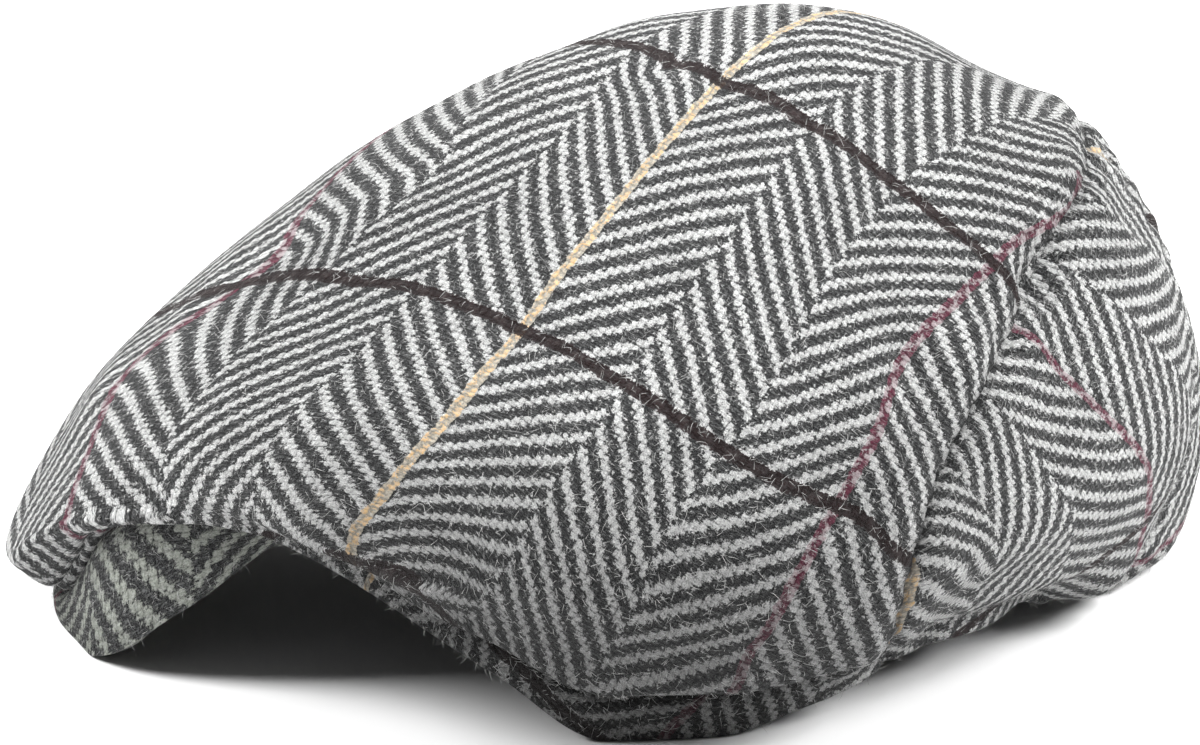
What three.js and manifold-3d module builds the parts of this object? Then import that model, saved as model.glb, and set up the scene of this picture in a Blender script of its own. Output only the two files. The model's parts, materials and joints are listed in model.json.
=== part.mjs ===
// A flat cap in wool tweed: a one-piece main panel, two back panels and a stiff short peak.
// Millimetres, +Z up. The cap rests on the plane z = 0 on its hem and on the edge of its peak.
// The wearer faces -Y and the wearer's left is +X. The crown is built about the middle of the head
// opening, and the whole cap is then moved so that the origin is under the middle of its length.
import * as THREE from "three";
import Module from "manifold-3d";
import { mergeVertices } from "three/addons/utils/BufferGeometryUtils.js";

const wasm = await Module();
wasm.setup();

// Driving sizes of the crown
const FRONT_REACH = 135;
const BACK_REACH = 124;
const HALF_WIDTH = 107;
const CROWN_HEIGHT = 132;

// Driving sizes of the head opening, whose hem rises over the temples
const OPENING_FRONT = 97;
const OPENING_HALF_WIDTH = 82;
const OPENING_BACK = 94;
const TEMPLE_RISE = 38;

// How far the cloth swells out over the hem, and how high above the hem the swell is
const SAG_REACH = 17;
const SAG_RISE = 22;

// Cloth, board and seams
const CLOTH_WALL = 2.4;
const HEM_WALL = 3.4;
const PEAK_THICKNESS = 4;
const PEAK_FLARE = 4;
const SEAM_GAP = 0.3;
const PEAK_GAP = 1.1;
const LIP_COVER = 2.5;

// How finely the surfaces are cut into facets
const CROWN_SECTORS = 72;
const RING_STEPS = [
  [0, 4.8, 12],
  [4.8, 8, 11],
];
const PEAK_STRIPS = 9;
const SEAM_STEPS = 30;

// The rings count from the top: five of the crown, then bulge, swell, crease and edge
const EDGE_RING = 8;
const NORMAL_STEP = 0.02;
const SEAM_TAIL = 8;
const SEAM_DEPTH = 10;
const SEAM_HUB = new THREE.Vector3(0, 0.44 * BACK_REACH, 0.23 * CROWN_HEIGHT);

const DEGREE = Math.PI / 180;

// Sections of the crown from its top down. Each ring has the shift of its centre, as a share of
// the back reach; its reach at the front, front quarter, side, back quarter and back, as shares of
// the crown's own reach there; and its height at the same five places, as shares of the crown's.
const RINGS = [
  { centre: 0.266, reach: [0, 0, 0, 0, 0], height: [1, 1, 1, 1, 1] },
  { centre: 0.25, reach: [0.267, 0.253, 0.252, 0.227, 0.218], height: [0.951, 0.962, 0.97, 0.977, 0.973] },
  { centre: 0.177, reach: [0.533, 0.523, 0.523, 0.48, 0.468], height: [0.799, 0.833, 0.864, 0.886, 0.894] },
  { centre: 0.097, reach: [0.741, 0.742, 0.766, 0.716, 0.71], height: [0.565, 0.635, 0.692, 0.75, 0.795] },
  { centre: 0.04, reach: [0.875, 0.885, 0.935, 0.89, 0.911], height: [0.345, 0.455, 0.51, 0.561, 0.606] },
];

// The crown's lower edge, by angle from the front. It follows the crown's lip over the peak and
// then the head opening: reach is a share of the one or the other, and rise a share of the temple
// rise. The crease and the swell above it stand out and up from the edge by shares of the sag's
// sizes, and the bulge over them is a share of the crown's own reach and height.
const EDGE_COLUMNS = [
  "angle", "lip", "opening", "rise", "creaseOut", "creaseUp", "sagOut", "sagUp", "bulge", "bulgeUp",
];
const EDGE = [
  [0, 0.938, 0, 0.13, 0.06, 0.1, 0.38, 0.35, 1, 0.135],
  [6, 0.925, 0, 0.18, 0.06, 0.1, 0.4, 0.34, 0.998, 0.145],
  [13, 0.9, 0, 0.48, 0.06, 0.09, 0.4, 0.3, 0.988, 0.2],
  [21, 0.881, 0, 0.86, 0.06, 0.06, 0.25, 0.13, 0.95, 0.283],
  [28, 0.415, 0.6, 1, 0.06, 0.07, 0.18, 0.14, 0.9, 0.315],
  [40, 0, 1.078, 0.97, 0.06, 0.14, 0.24, 0.27, 0.885, 0.355],
  [55, 0, 1.028, 0.71, 0.06, 0.36, 0.41, 0.55, 0.935, 0.345],
  [70, 0, 1.011, 0.35, 0.12, 0.5, 0.65, 0.77, 0.965, 0.325],
  [88, 0, 1, 0, 0.24, 0.59, 0.88, 1, 1, 0.318],
  [104, 0, 1.006, 0, 0.24, 0.55, 0.94, 0.95, 0.998, 0.318],
  [118, 0, 1.01, 0.13, 0.24, 0.41, 1, 0.86, 0.985, 0.33],
  [136, 0, 0.973, 0.29, 0.18, 0.27, 0.88, 0.77, 0.969, 0.348],
  [160, 0, 0.965, 0.21, 0.18, 0.27, 0.94, 0.68, 0.98, 0.356],
  [174, 0, 0.996, 0, 0.18, 0.23, 0.94, 0.64, 1, 0.364],
  [180, 0, 1, 0, 0.18, 0.23, 0.94, 0.64, 1, 0.364],
].map((row) => Object.fromEntries(row.map((value, i) => [EDGE_COLUMNS[i], value])));

// Folds and dents of the cloth: where each lies by angle and ring, how wide it spreads by both, and
// how far it stands out and up, as shares of the sag's reach. The hem itself stays as it is.
const FOLDS = [
  { angle: 180, ring: 6, spread: 9, rings: 1.6, out: -0.5, up: 0 }, // back seam, drawn in
  { angle: -165, ring: 6, spread: 15, rings: 1.05, out: 1.25, up: -0.72 }, // right back, sunk down
  { angle: 147, ring: 3.5, spread: 9, rings: 0.7, out: -0.2, up: 0 }, // pucker on the left seam
];

// The peak by angle from its middle: its inner edge as shares of the opening's reach and of the
// temple rise, its shoulder as a share of the way to the face and of the temple rise, and its outer
// edge as shares of the flare and of the temple rise.
const PEAK = [
  { angle: 0, inner: 1, innerRise: 1.21, shoulder: 0.64, shoulderRise: 0.97, flare: 0.15, edgeRise: 0.03 },
  { angle: 7, inner: 1.003, innerRise: 1.21, shoulder: 0.67, shoulderRise: 1, flare: 0.25, edgeRise: 0 },
  { angle: 15, inner: 1.013, innerRise: 1.2, shoulder: 0.7, shoulderRise: 1.06, flare: 0.3, edgeRise: 0 },
  { angle: 21, inner: 1.02, innerRise: 1.18, shoulder: 0.7, shoulderRise: 1.09, flare: 0, edgeRise: 0.1 },
  { angle: 29, inner: 1.025, innerRise: 1.14, shoulder: 0.7, shoulderRise: 1.12, flare: -0.3, edgeRise: 0.46 },
  { angle: 40, inner: 1.004, innerRise: 1.1, shoulder: 0.57, shoulderRise: 1.08, flare: 0, edgeRise: 0.93 },
];
const PEAK_HALF_ANGLE = PEAK.at(-1).angle;
const PEAK_SECTORS = Math.round((PEAK_HALF_ANGLE / 180) * CROWN_SECTORS);

// The seam between the main panel and the back panels, from the middle of the back to the hem
const ARCH_SEAM = [
  { angle: 180, ring: 2.9 },
  { angle: 168, ring: 3 },
  { angle: 156, ring: 3.15 },
  { angle: 147, ring: 3.4 },
  { angle: 138, ring: 3.7 },
  { angle: 130, ring: 4.05 },
  { angle: 124.5, ring: 4.5 },
  { angle: 122, ring: 5.1 },
  { angle: 122.5, ring: 6 },
  { angle: 126, ring: 7 },
  { angle: 130, ring: 8 },
];

// Finishes
const TWEED = { color: 0x77777a, roughness: 0.95, metalness: 0 };
const BACK_TWEED = { color: 0x85858a, roughness: 0.95, metalness: 0 };
const PEAK_TWEED = { color: 0x5f605c, roughness: 0.95, metalness: 0 };

const hermite = (p, q, slopeP, slopeQ, width, t) =>
  (2 * t ** 3 - 3 * t ** 2 + 1) * p +
  (t ** 3 - 2 * t ** 2 + t) * slopeP * width +
  (3 * t ** 2 - 2 * t ** 3) * q +
  (t ** 3 - t ** 2) * slopeQ * width;

// One column of a table read at an angle, smooth and never past the values of its rows
function readColumn(table, column, angle) {
  const last = table.length - 2;
  const found = table.findIndex((row, i) => i > 0 && angle < row.angle);
  const i = found < 0 ? last : found - 1;
  const rate = (k) => (table[k + 1][column] - table[k][column]) / (table[k + 1].angle - table[k].angle);
  const slope = (k) => {
    if (k === 0 || k === last + 1) return 0;
    const before = rate(k - 1);
    const after = rate(k);
    return before * after > 0 ? (2 * before * after) / (before + after) : 0;
  };
  const width = table[i + 1].angle - table[i].angle;
  const t = (angle - table[i].angle) / width;
  return hermite(table[i][column], table[i + 1][column], slope(i), slope(i + 1), width, t);
}

// A smooth even curve of the angle through five values at 0, 45, 90, 135 and 180 degrees
function throughStations(values, angle) {
  const last = values.length - 1;
  let sum = 0;
  for (let k = 0; k <= last; k++) {
    let weight = 0;
    values.forEach((value, j) => {
      const half = j === 0 || j === last ? 0.5 : 1;
      weight += half * value * Math.cos((Math.PI * k * j) / last);
    });
    const share = k === 0 || k === last ? 1 / last : 2 / last;
    sum += weight * share * Math.cos(k * angle * DEGREE);
  }
  return sum;
}

// Reach of an ellipse with the two half axes, at an angle from the first
const ellipseReach = (along, across, angle) =>
  1 / Math.hypot(Math.cos(angle * DEGREE) / along, Math.sin(angle * DEGREE) / across);

const bodyReach = (angle) =>
  ellipseReach(Math.cos(angle * DEGREE) > 0 ? FRONT_REACH : BACK_REACH, HALF_WIDTH, angle);

const STATION_REACH = [0, 45, 90, 135, 180].map(bodyReach);

// Point at an angle from the front, a reach from the centre and a height
function polarPoint(angle, centre, reach, height) {
  const turn = angle * DEGREE;
  return new THREE.Vector3(reach * Math.sin(turn), centre - reach * Math.cos(turn), height);
}

const wrapAngle = (angle) => THREE.MathUtils.euclideanModulo(angle + 180, 360) - 180;

// Where the crown's lower edge is at an angle
function edgeAt(signedAngle) {
  const angle = Math.abs(wrapAngle(signedAngle));
  const read = (column) => readColumn(EDGE, column, angle);
  const along = angle < 90 ? OPENING_FRONT : OPENING_BACK;
  const opening = ellipseReach(along, OPENING_HALF_WIDTH, angle);
  return {
    reach: read("lip") * FRONT_REACH + read("opening") * opening,
    height: read("rise") * TEMPLE_RISE,
    read,
  };
}

// The crown's section rings at an angle: five of the first table and four of the edge's
function ringPoints(angle) {
  const points = RINGS.map((ring) => {
    const reaches = ring.reach.map((share, i) => share * STATION_REACH[i]);
    const heights = ring.height.map((share) => share * CROWN_HEIGHT);
    const centre = ring.centre * BACK_REACH;
    return polarPoint(angle, centre, throughStations(reaches, angle), throughStations(heights, angle));
  });
  const edge = edgeAt(angle);
  const bulge = edge.read("bulge") * bodyReach(angle);
  points.push(polarPoint(angle, 0, bulge, edge.read("bulgeUp") * CROWN_HEIGHT));
  const above = (out, up) =>
    polarPoint(angle, 0, edge.reach + out * SAG_REACH, edge.height + up * SAG_RISE);
  points.push(above(edge.read("sagOut"), edge.read("sagUp")));
  points.push(above(edge.read("creaseOut"), edge.read("creaseUp")));
  points.push(above(0, 0));
  return points;
}

// A point of a smooth curve through the listed points, at a place counted in points
function throughPoints(points, place, before) {
  const i = Math.min(Math.max(Math.floor(place), 0), points.length - 2);
  const t = place - i;
  const [p, q] = [points[i], points[i + 1]];
  const prior = i > 0 ? points[i - 1] : before ?? p.clone().multiplyScalar(2).sub(q);
  const next = points[i + 2] ?? q.clone().multiplyScalar(2).sub(p);
  const blend = (axis) =>
    hermite(p[axis], q[axis], (q[axis] - prior[axis]) / 2, (next[axis] - p[axis]) / 2, 1, t);
  return new THREE.Vector3(blend("x"), blend("y"), blend("z"));
}

// The crown's outer surface
function crownPoint(angle, ring) {
  const point = throughPoints(ringPoints(angle), ring, ring < 1 ? ringPoints(angle + 180)[1] : undefined);
  for (const fold of FOLDS) {
    const across = wrapAngle(angle - fold.angle) / fold.spread;
    const along = (ring - fold.ring) / fold.rings;
    const fade = THREE.MathUtils.smoothstep(EDGE_RING - ring, 0, 1);
    const weight = SAG_REACH * fade * Math.exp(-across * across - along * along);
    const out = weight * fold.out;
    point.add(polarPoint(angle, 0, out, weight * fold.up));
  }
  return point;
}

// The outward direction of the crown's surface
function crownNormal(angle, ring) {
  const from = Math.max(ring - NORMAL_STEP, NORMAL_STEP);
  const down = crownPoint(angle, Math.min(from + 2 * NORMAL_STEP, EDGE_RING));
  down.sub(crownPoint(angle, from));
  const across = crownPoint(angle + 1, Math.max(ring, NORMAL_STEP));
  across.sub(crownPoint(angle - 1, Math.max(ring, NORMAL_STEP)));
  return down.cross(across).normalize();
}

// The inner face of the cloth, which is thicker at the turned hem and level along its edge
function crownInner(angle, ring) {
  const outer = crownPoint(angle, ring);
  if (ring >= EDGE_RING) return outer.sub(polarPoint(angle, 0, HEM_WALL, 0));
  if (ring === 0) return outer.sub(new THREE.Vector3(0, 0, CLOTH_WALL));
  return outer.addScaledVector(crownNormal(angle, ring), -CLOTH_WALL);
}

// Geometry of a closed surface from faces that name their corners
function geometryOf(points, triangles) {
  const geometry = new THREE.BufferGeometry();
  geometry.setAttribute("position", new THREE.Float32BufferAttribute(points.flatMap((p) => p.toArray()), 3));
  geometry.setIndex(triangles.flat());
  return geometry;
}

function solidOf(geometry) {
  const merged = mergeVertices(geometry, 1e-4);
  const mesh = new wasm.Mesh({
    numProp: 3,
    vertProperties: new Float32Array(merged.attributes.position.array),
    triVerts: new Uint32Array(merged.index.array),
  });
  return new wasm.Manifold(mesh);
}

function meshOf(solid, name, finish) {
  const mesh = solid.getMesh();
  const geometry = new THREE.BufferGeometry();
  geometry.setAttribute("position", new THREE.BufferAttribute(mesh.vertProperties, mesh.numProp));
  geometry.setIndex(new THREE.BufferAttribute(mesh.triVerts, 1));
  geometry.computeVertexNormals();
  const made = new THREE.Mesh(geometry, new THREE.MeshStandardMaterial(finish));
  made.name = name;
  return made;
}

// The whole crown as one hollow shell, open at the head opening and over the peak
function crownShell() {
  const rings = RING_STEPS.flatMap(([from, to, steps]) =>
    Array.from({ length: steps }, (_, i) => from + ((to - from) * (i + 1)) / steps),
  );
  const points = [];
  const triangles = [];
  const layers = [
    { place: crownPoint, flip: false },
    { place: crownInner, flip: true },
  ];
  const rims = layers.map(({ place, flip }) => {
    const top = points.push(place(0, 0)) - 1;
    const starts = rings.map((ring) => {
      const start = points.length;
      for (let j = 0; j < CROWN_SECTORS; j++) points.push(place((360 * j) / CROWN_SECTORS, ring));
      return start;
    });
    const add = (a, b, c) => triangles.push(flip ? [a, c, b] : [a, b, c]);
    for (let j = 0; j < CROWN_SECTORS; j++) {
      const k = (j + 1) % CROWN_SECTORS;
      add(top, starts[0] + j, starts[0] + k);
      for (let i = 0; i + 1 < starts.length; i++) {
        add(starts[i] + j, starts[i + 1] + j, starts[i + 1] + k);
        add(starts[i] + j, starts[i + 1] + k, starts[i] + k);
      }
    }
    return starts.at(-1);
  });
  for (let j = 0; j < CROWN_SECTORS; j++) {
    const k = (j + 1) % CROWN_SECTORS;
    triangles.push([rims[0] + j, rims[1] + j, rims[1] + k]);
    triangles.push([rims[0] + j, rims[1] + k, rims[0] + k]);
  }
  return solidOf(geometryOf(points, triangles));
}

// A closed band with a four-sided section at each stop along it
function bandSolid(sections) {
  const points = sections.flat();
  const triangles = [];
  for (let i = 0; i + 1 < sections.length; i++) {
    for (let side = 0; side < 4; side++) {
      const [a, b] = [4 * i + side, 4 * i + ((side + 1) % 4)];
      triangles.push([a, b, b + 4], [a, b + 4, a + 4]);
    }
  }
  const end = points.length - 4;
  triangles.push([0, 2, 1], [0, 3, 2], [end, end + 1, end + 2], [end, end + 2, end + 3]);
  const band = solidOf(geometryOf(points, triangles));
  if (band.volume() > 0) return band;
  return solidOf(geometryOf(points, triangles.map(([a, b, c]) => [a, c, b])));
}

// The thin gap that a seam leaves through the shell, along listed places by angle and ring. It is
// cut towards a hub inside the crown, and runs on past the hem by the tail at each end there.
function seamGap(places, startTail, endTail) {
  const points = places.map(({ angle, ring }) => crownPoint(angle, Math.min(ring, EDGE_RING)));
  const last = points.length - 1;
  for (const [end, inward, tail] of [[0, 1, startTail], [last, last - 1, endTail]]) {
    const away = points[end].clone().sub(points[inward]).normalize();
    points[end].addScaledVector(away, tail);
  }
  const sections = points.map((point, i) => {
    const along = points[Math.min(i + 1, last)].clone().sub(points[Math.max(i - 1, 0)]);
    const ray = point.clone().sub(SEAM_HUB).normalize();
    const side = along.cross(ray).normalize().multiplyScalar(SEAM_GAP / 2);
    const outer = point.clone().addScaledVector(ray, SEAM_DEPTH);
    const inner = point.clone().addScaledVector(ray, -SEAM_DEPTH);
    return [
      outer.clone().add(side),
      outer.clone().sub(side),
      inner.clone().sub(side),
      inner.clone().add(side),
    ];
  });
  return bandSolid(sections);
}

// The arch seam from hem to hem over the back, read smoothly through its listed places
function archPlaces() {
  const right = ARCH_SEAM.slice(1).map(({ angle, ring }) => ({ angle: 360 - angle, ring }));
  const whole = [...ARCH_SEAM.toReversed(), ...right];
  const listed = whole.map(({ angle, ring }) => new THREE.Vector3(angle, ring, 0));
  return Array.from({ length: 2 * SEAM_STEPS + 1 }, (_, i) => {
    const place = throughPoints(listed, (i / (2 * SEAM_STEPS)) * (listed.length - 1));
    return { angle: place.x, ring: place.y };
  });
}

// The back seam from the arch seam down to the hem
function backPlaces() {
  const top = ARCH_SEAM[0].ring;
  return Array.from({ length: SEAM_STEPS + 1 }, (_, i) => ({
    angle: 180,
    ring: top + ((EDGE_RING - top) * i) / SEAM_STEPS,
  }));
}

function crownPanels() {
  const arch = seamGap(archPlaces(), SEAM_TAIL, SEAM_TAIL);
  const back = seamGap(backPlaces(), 0, SEAM_TAIL);
  const pieces = crownShell().subtract(arch).subtract(back).decompose();
  pieces.sort((a, b) => b.volume() - a.volume());
  const middle = (piece) => {
    const box = piece.boundingBox();
    return (box.min[0] + box.max[0]) / 2;
  };
  const [main, ...backs] = pieces;
  backs.sort((a, b) => middle(b) - middle(a));
  return [
    meshOf(main, "main_panel", TWEED),
    meshOf(backs[0], "back_panel_left", BACK_TWEED),
    meshOf(backs[1], "back_panel_right", BACK_TWEED),
  ];
}

// The outer face of the peak across its width: inner edge, shoulder, face under the lip, outer edge
function peakSection(signedAngle) {
  const angle = Math.abs(signedAngle);
  const read = (column) => readColumn(PEAK, column, angle);
  const lip = edgeAt(angle);
  const inner = read("inner") * ellipseReach(OPENING_FRONT, OPENING_HALF_WIDTH, angle);
  const face = lip.reach - HEM_WALL - PEAK_GAP;
  const shoulder = inner + read("shoulder") * (face - inner);
  return [
    new THREE.Vector3(inner, read("innerRise") * TEMPLE_RISE, 0),
    new THREE.Vector3(shoulder, read("shoulderRise") * TEMPLE_RISE, 0),
    new THREE.Vector3(face, lip.height + LIP_COVER, 0),
    new THREE.Vector3(face + read("flare") * PEAK_FLARE, read("edgeRise") * TEMPLE_RISE, 0),
  ];
}

function peakMesh() {
  const points = [];
  const triangles = [];
  const count = 2 * (PEAK_STRIPS + 1);
  for (let i = 0; i <= PEAK_SECTORS; i++) {
    const angle = PEAK_HALF_ANGLE * ((2 * i) / PEAK_SECTORS - 1);
    const section = peakSection(angle);
    const at = (k) => throughPoints(section, (k / PEAK_STRIPS) * (section.length - 1));
    const outer = Array.from({ length: PEAK_STRIPS + 1 }, (_, k) => at(k));
    const inner = outer.map((point, k) => {
      const along = at(Math.min(k + NORMAL_STEP, PEAK_STRIPS)).sub(at(Math.max(k - NORMAL_STEP, 0)));
      const under = new THREE.Vector3(along.y, -along.x, 0).normalize();
      if (k === PEAK_STRIPS) under.set(-1, 0, 0);
      return point.clone().addScaledVector(under, PEAK_THICKNESS);
    });
    for (const { x, y } of [...outer, ...inner.toReversed()]) points.push(polarPoint(angle, 0, x, y));
  }
  for (let i = 0; i < PEAK_SECTORS; i++) {
    for (let k = 0; k < count; k++) {
      const [a, b] = [i * count + k, i * count + ((k + 1) % count)];
      triangles.push([a, b, b + count], [a, b + count, a + count]);
    }
  }
  const end = PEAK_SECTORS * count;
  for (let k = 0; k < PEAK_STRIPS; k++) {
    const [a, b, c, d] = [k, k + 1, count - 2 - k, count - 1 - k];
    triangles.push([a, c, b], [a, d, c], [end + a, end + b, end + c], [end + a, end + c, end + d]);
  }
  const solid = solidOf(geometryOf(points, triangles));
  if (solid.volume() > 0) return meshOf(solid, "peak", PEAK_TWEED);
  const turned = triangles.map(([a, b, c]) => [a, c, b]);
  return meshOf(solidOf(geometryOf(points, turned)), "peak", PEAK_TWEED);
}

const cap = new THREE.Group();
cap.add(...crownPanels(), peakMesh());
const extent = new THREE.Box3().setFromObject(cap);
cap.position.y = -(extent.min.y + extent.max.y) / 2;

export default cap;
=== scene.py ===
"""Dresses the flat cap in its wool tweed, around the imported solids.

Lengths are in millimetres until a mesh is placed. Places on the crown are given by the angle from
the front, in degrees towards the wearer's left, and by the ring, which counts down from the top.
"""

import json
import logging
import math
from collections.abc import Callable
from dataclasses import dataclass, field
from enum import Enum

import bmesh
import bpy
import numpy as np
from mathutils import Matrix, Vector

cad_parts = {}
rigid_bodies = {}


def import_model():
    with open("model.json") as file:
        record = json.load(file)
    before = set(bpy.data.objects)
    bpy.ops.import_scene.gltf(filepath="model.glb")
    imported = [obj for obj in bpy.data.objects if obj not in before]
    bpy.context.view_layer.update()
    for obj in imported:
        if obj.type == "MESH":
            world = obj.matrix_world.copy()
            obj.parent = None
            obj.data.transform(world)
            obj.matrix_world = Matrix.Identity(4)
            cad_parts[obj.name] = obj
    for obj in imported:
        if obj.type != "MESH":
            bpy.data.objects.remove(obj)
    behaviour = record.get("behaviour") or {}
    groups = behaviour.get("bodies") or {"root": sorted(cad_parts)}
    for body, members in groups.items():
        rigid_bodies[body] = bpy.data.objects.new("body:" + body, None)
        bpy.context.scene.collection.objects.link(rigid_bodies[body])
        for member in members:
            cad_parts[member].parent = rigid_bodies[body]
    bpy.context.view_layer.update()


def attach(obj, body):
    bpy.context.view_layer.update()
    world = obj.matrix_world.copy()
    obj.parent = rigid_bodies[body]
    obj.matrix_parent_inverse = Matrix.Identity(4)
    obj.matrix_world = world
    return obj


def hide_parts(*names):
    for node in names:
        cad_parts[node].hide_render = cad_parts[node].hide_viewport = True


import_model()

log = logging.getLogger("flat_cap")

MM = 0.001
DEGREE = math.pi / 180
SEED = 7
ORIGIN_SHIFT = 4.01

# The picture that the camera is matched to
PICTURE_WIDTH = 1200
PICTURE_HEIGHT = 745
PIXELS_PER_MM = 4.6
CAMERA_ELEVATION = 19.0
CAMERA_DISTANCE = 1300.0
CAMERA_TARGET = (0.0, -5.7, 52.8)
SENSOR_WIDTH = 36.0

# Sizes of the cloth's weave
YARN_PITCH = 1.75
COLUMN_YARNS = 16
PANE_YARNS = 48
PANE = YARN_PITCH * PANE_YARNS


class Side(Enum):
    """The wearer's side that a back panel is on."""

    LEFT = 1
    RIGHT = -1


class Thread(Enum):
    """Which way a line of the windowpane runs, by the cloth coordinate that it holds constant."""

    WARP = 0
    WEFT = 1


def hermite(
    p: np.ndarray,
    q: np.ndarray,
    slope_p: np.ndarray,
    slope_q: np.ndarray,
    width: np.ndarray | float,
    t: np.ndarray,
) -> np.ndarray:
    """Cubic between two values.

    Args:
        p: The first value.
        q: The second value.
        slope_p: The slope at the first.
        slope_q: The slope at the second.
        width: How far apart the two stand.
        t: The share of the way from the first to the second.

    Returns:
        The cubic's value.
    """
    return (
        (2 * t**3 - 3 * t**2 + 1) * p
        + (t**3 - 2 * t**2 + t) * slope_p * width
        + (3 * t**2 - 2 * t**3) * q
        + (t**3 - t**2) * slope_q * width
    )


def through_points(
    prior: np.ndarray, p: np.ndarray, q: np.ndarray, following: np.ndarray, t: np.ndarray
) -> np.ndarray:
    """Cubic through four points in a row, between the middle two.

    Args:
        prior: The point before.
        p: The point that it starts at.
        q: The point that it ends at.
        following: The point after.
        t: The share of the way from p to q.

    Returns:
        The point on the cubic.
    """
    return hermite(p, q, (q - prior) / 2, (following - p) / 2, 1, t)


def read_column(table: np.ndarray, column: int, angle: np.ndarray) -> np.ndarray:
    """Reads one column of a table at angles, smooth and never past the values of its rows.

    Args:
        table: Rows of numbers whose first column is the angle.
        column: The column to read.
        angle: Angles in degrees, within the table's.

    Returns:
        The column's value at each angle.
    """
    knots, values = table[:, 0], table[:, column]
    rate = np.diff(values) / np.diff(knots)
    slope = np.zeros(len(knots))
    before, after = rate[:-1], rate[1:]
    same = before * after > 0
    slope[1:-1][same] = 2 * before[same] * after[same] / (before[same] + after[same])
    i = np.clip(np.searchsorted(knots, angle, side="right") - 1, 0, len(knots) - 2)
    width = knots[i + 1] - knots[i]
    t = (angle - knots[i]) / width
    return hermite(values[i], values[i + 1], slope[i], slope[i + 1], width, t)


def bell(value: np.ndarray, middle: float, spread: float) -> np.ndarray:
    """Smooth bump of height 1 about a middle value."""
    return np.exp(-(((value - middle) / spread) ** 2))


def through_stations(values: np.ndarray, angle: np.ndarray) -> np.ndarray:
    """Smooth even curve of the angle through five values.

    Args:
        values: The values at 0, 45, 90, 135 and 180 degrees.
        angle: Angles in degrees.

    Returns:
        The curve's value at each angle.
    """
    last = len(values) - 1
    half = np.array([0.5, 1, 1, 1, 0.5])
    total = np.zeros_like(angle)
    for k in range(last + 1):
        weight = (half * values * np.cos(np.pi * k * np.arange(last + 1) / last)).sum()
        share = (1 if k in (0, last) else 2) / last
        total = total + weight * share * np.cos(k * angle * DEGREE)
    return total


def ellipse_reach(along: np.ndarray | float, across: float, angle: np.ndarray) -> np.ndarray:
    """Reach of an ellipse with the two half axes, at an angle from the first."""
    return 1 / np.hypot(np.cos(angle * DEGREE) / along, np.sin(angle * DEGREE) / across)


def wrap_angle(angle: np.ndarray | float) -> np.ndarray | float:
    """The angle brought between -180 and 180 degrees."""
    return (angle + 180) % 360 - 180


def smooth_step(value: np.ndarray, low: float, high: float) -> np.ndarray:
    """Smooth rise from 0 at low to 1 at high."""
    t = np.clip((value - low) / (high - low), 0, 1)
    return t * t * (3 - 2 * t)


def unit(vectors: np.ndarray) -> np.ndarray:
    """Vectors scaled to length 1."""
    return vectors / np.maximum(np.linalg.norm(vectors, axis=-1, keepdims=True), 1e-9)


def polar_points(
    angle: np.ndarray, centre: float, reach: np.ndarray | float, height: np.ndarray | float
) -> np.ndarray:
    """Points around the middle of the cap.

    Args:
        angle: Angles from the front, in degrees.
        centre: Where on the middle line the reaches start.
        reach: Distances from there.
        height: Heights above the floor.

    Returns:
        The points, one a row.
    """
    turn = np.asarray(angle) * DEGREE
    parts = np.broadcast_arrays(reach * np.sin(turn), centre - reach * np.cos(turn), height)
    return np.stack(parts, axis=-1).astype(float)


def distance_to_line(points: np.ndarray, line: np.ndarray) -> tuple[np.ndarray, np.ndarray]:
    """Distance of points from a line of straight stretches.

    Args:
        points: The points, one a row.
        line: The line's own points, in order.

    Returns:
        Each point's distance, and how far along the line its nearest place is.
    """
    best = np.full(len(points), np.inf)
    along = np.zeros(len(points))
    start = 0.0
    for a, b in zip(line[:-1], line[1:]):
        step = b - a
        length = float(np.linalg.norm(step))
        t = np.clip((points - a) @ step / max(length * length, 1e-12), 0, 1)
        far = np.linalg.norm(points - a - t[:, None] * step, axis=1)
        nearer = far < best
        best = np.where(nearer, far, best)
        along = np.where(nearer, start + t * length, along)
        start += length
    return best, along


def add_object(name: str, data: bpy.types.ID) -> bpy.types.Object:
    """Makes an object and links it to the scene.

    Args:
        name: Its name.
        data: Its mesh, camera or light.

    Returns:
        The object.
    """
    made = bpy.data.objects.new(name, data)
    bpy.context.scene.collection.objects.link(made)
    return made


def grid_mesh(columns: int, rows: int) -> tuple[bmesh.types.BMesh, np.ndarray]:
    """A flat grid to lay a shape from.

    Args:
        columns: How many faces it has across.
        rows: How many faces it has down.

    Returns:
        The mesh, and the places of its points, from -1 to 1 both ways.
    """
    bm = bmesh.new()
    bmesh.ops.create_grid(bm, x_segments=columns, y_segments=rows, size=1)
    return bm, np.array([v.co for v in bm.verts])


def lay_cloth(
    bm: bmesh.types.BMesh, points: np.ndarray, cloth: np.ndarray, shades: np.ndarray
) -> None:
    """Moves the points of a grid to their places, and notes the cloth and its painted shade there.

    Args:
        bm: The grid.
        points: The place of each point.
        cloth: The two cloth coordinates of each.
        shades: The share of the full brightness that the painted shade leaves at each.
    """
    layer = bm.verts.layers.float_vector.new("cloth")
    # The layer of painted shade
    painted_shade = bm.verts.layers.float.new("shade")
    for vert, point, (u, v), shade in zip(bm.verts, points, cloth, shades):
        vert.co = point
        vert[layer] = (u, v, 0)
        vert[painted_shade] = shade


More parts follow.
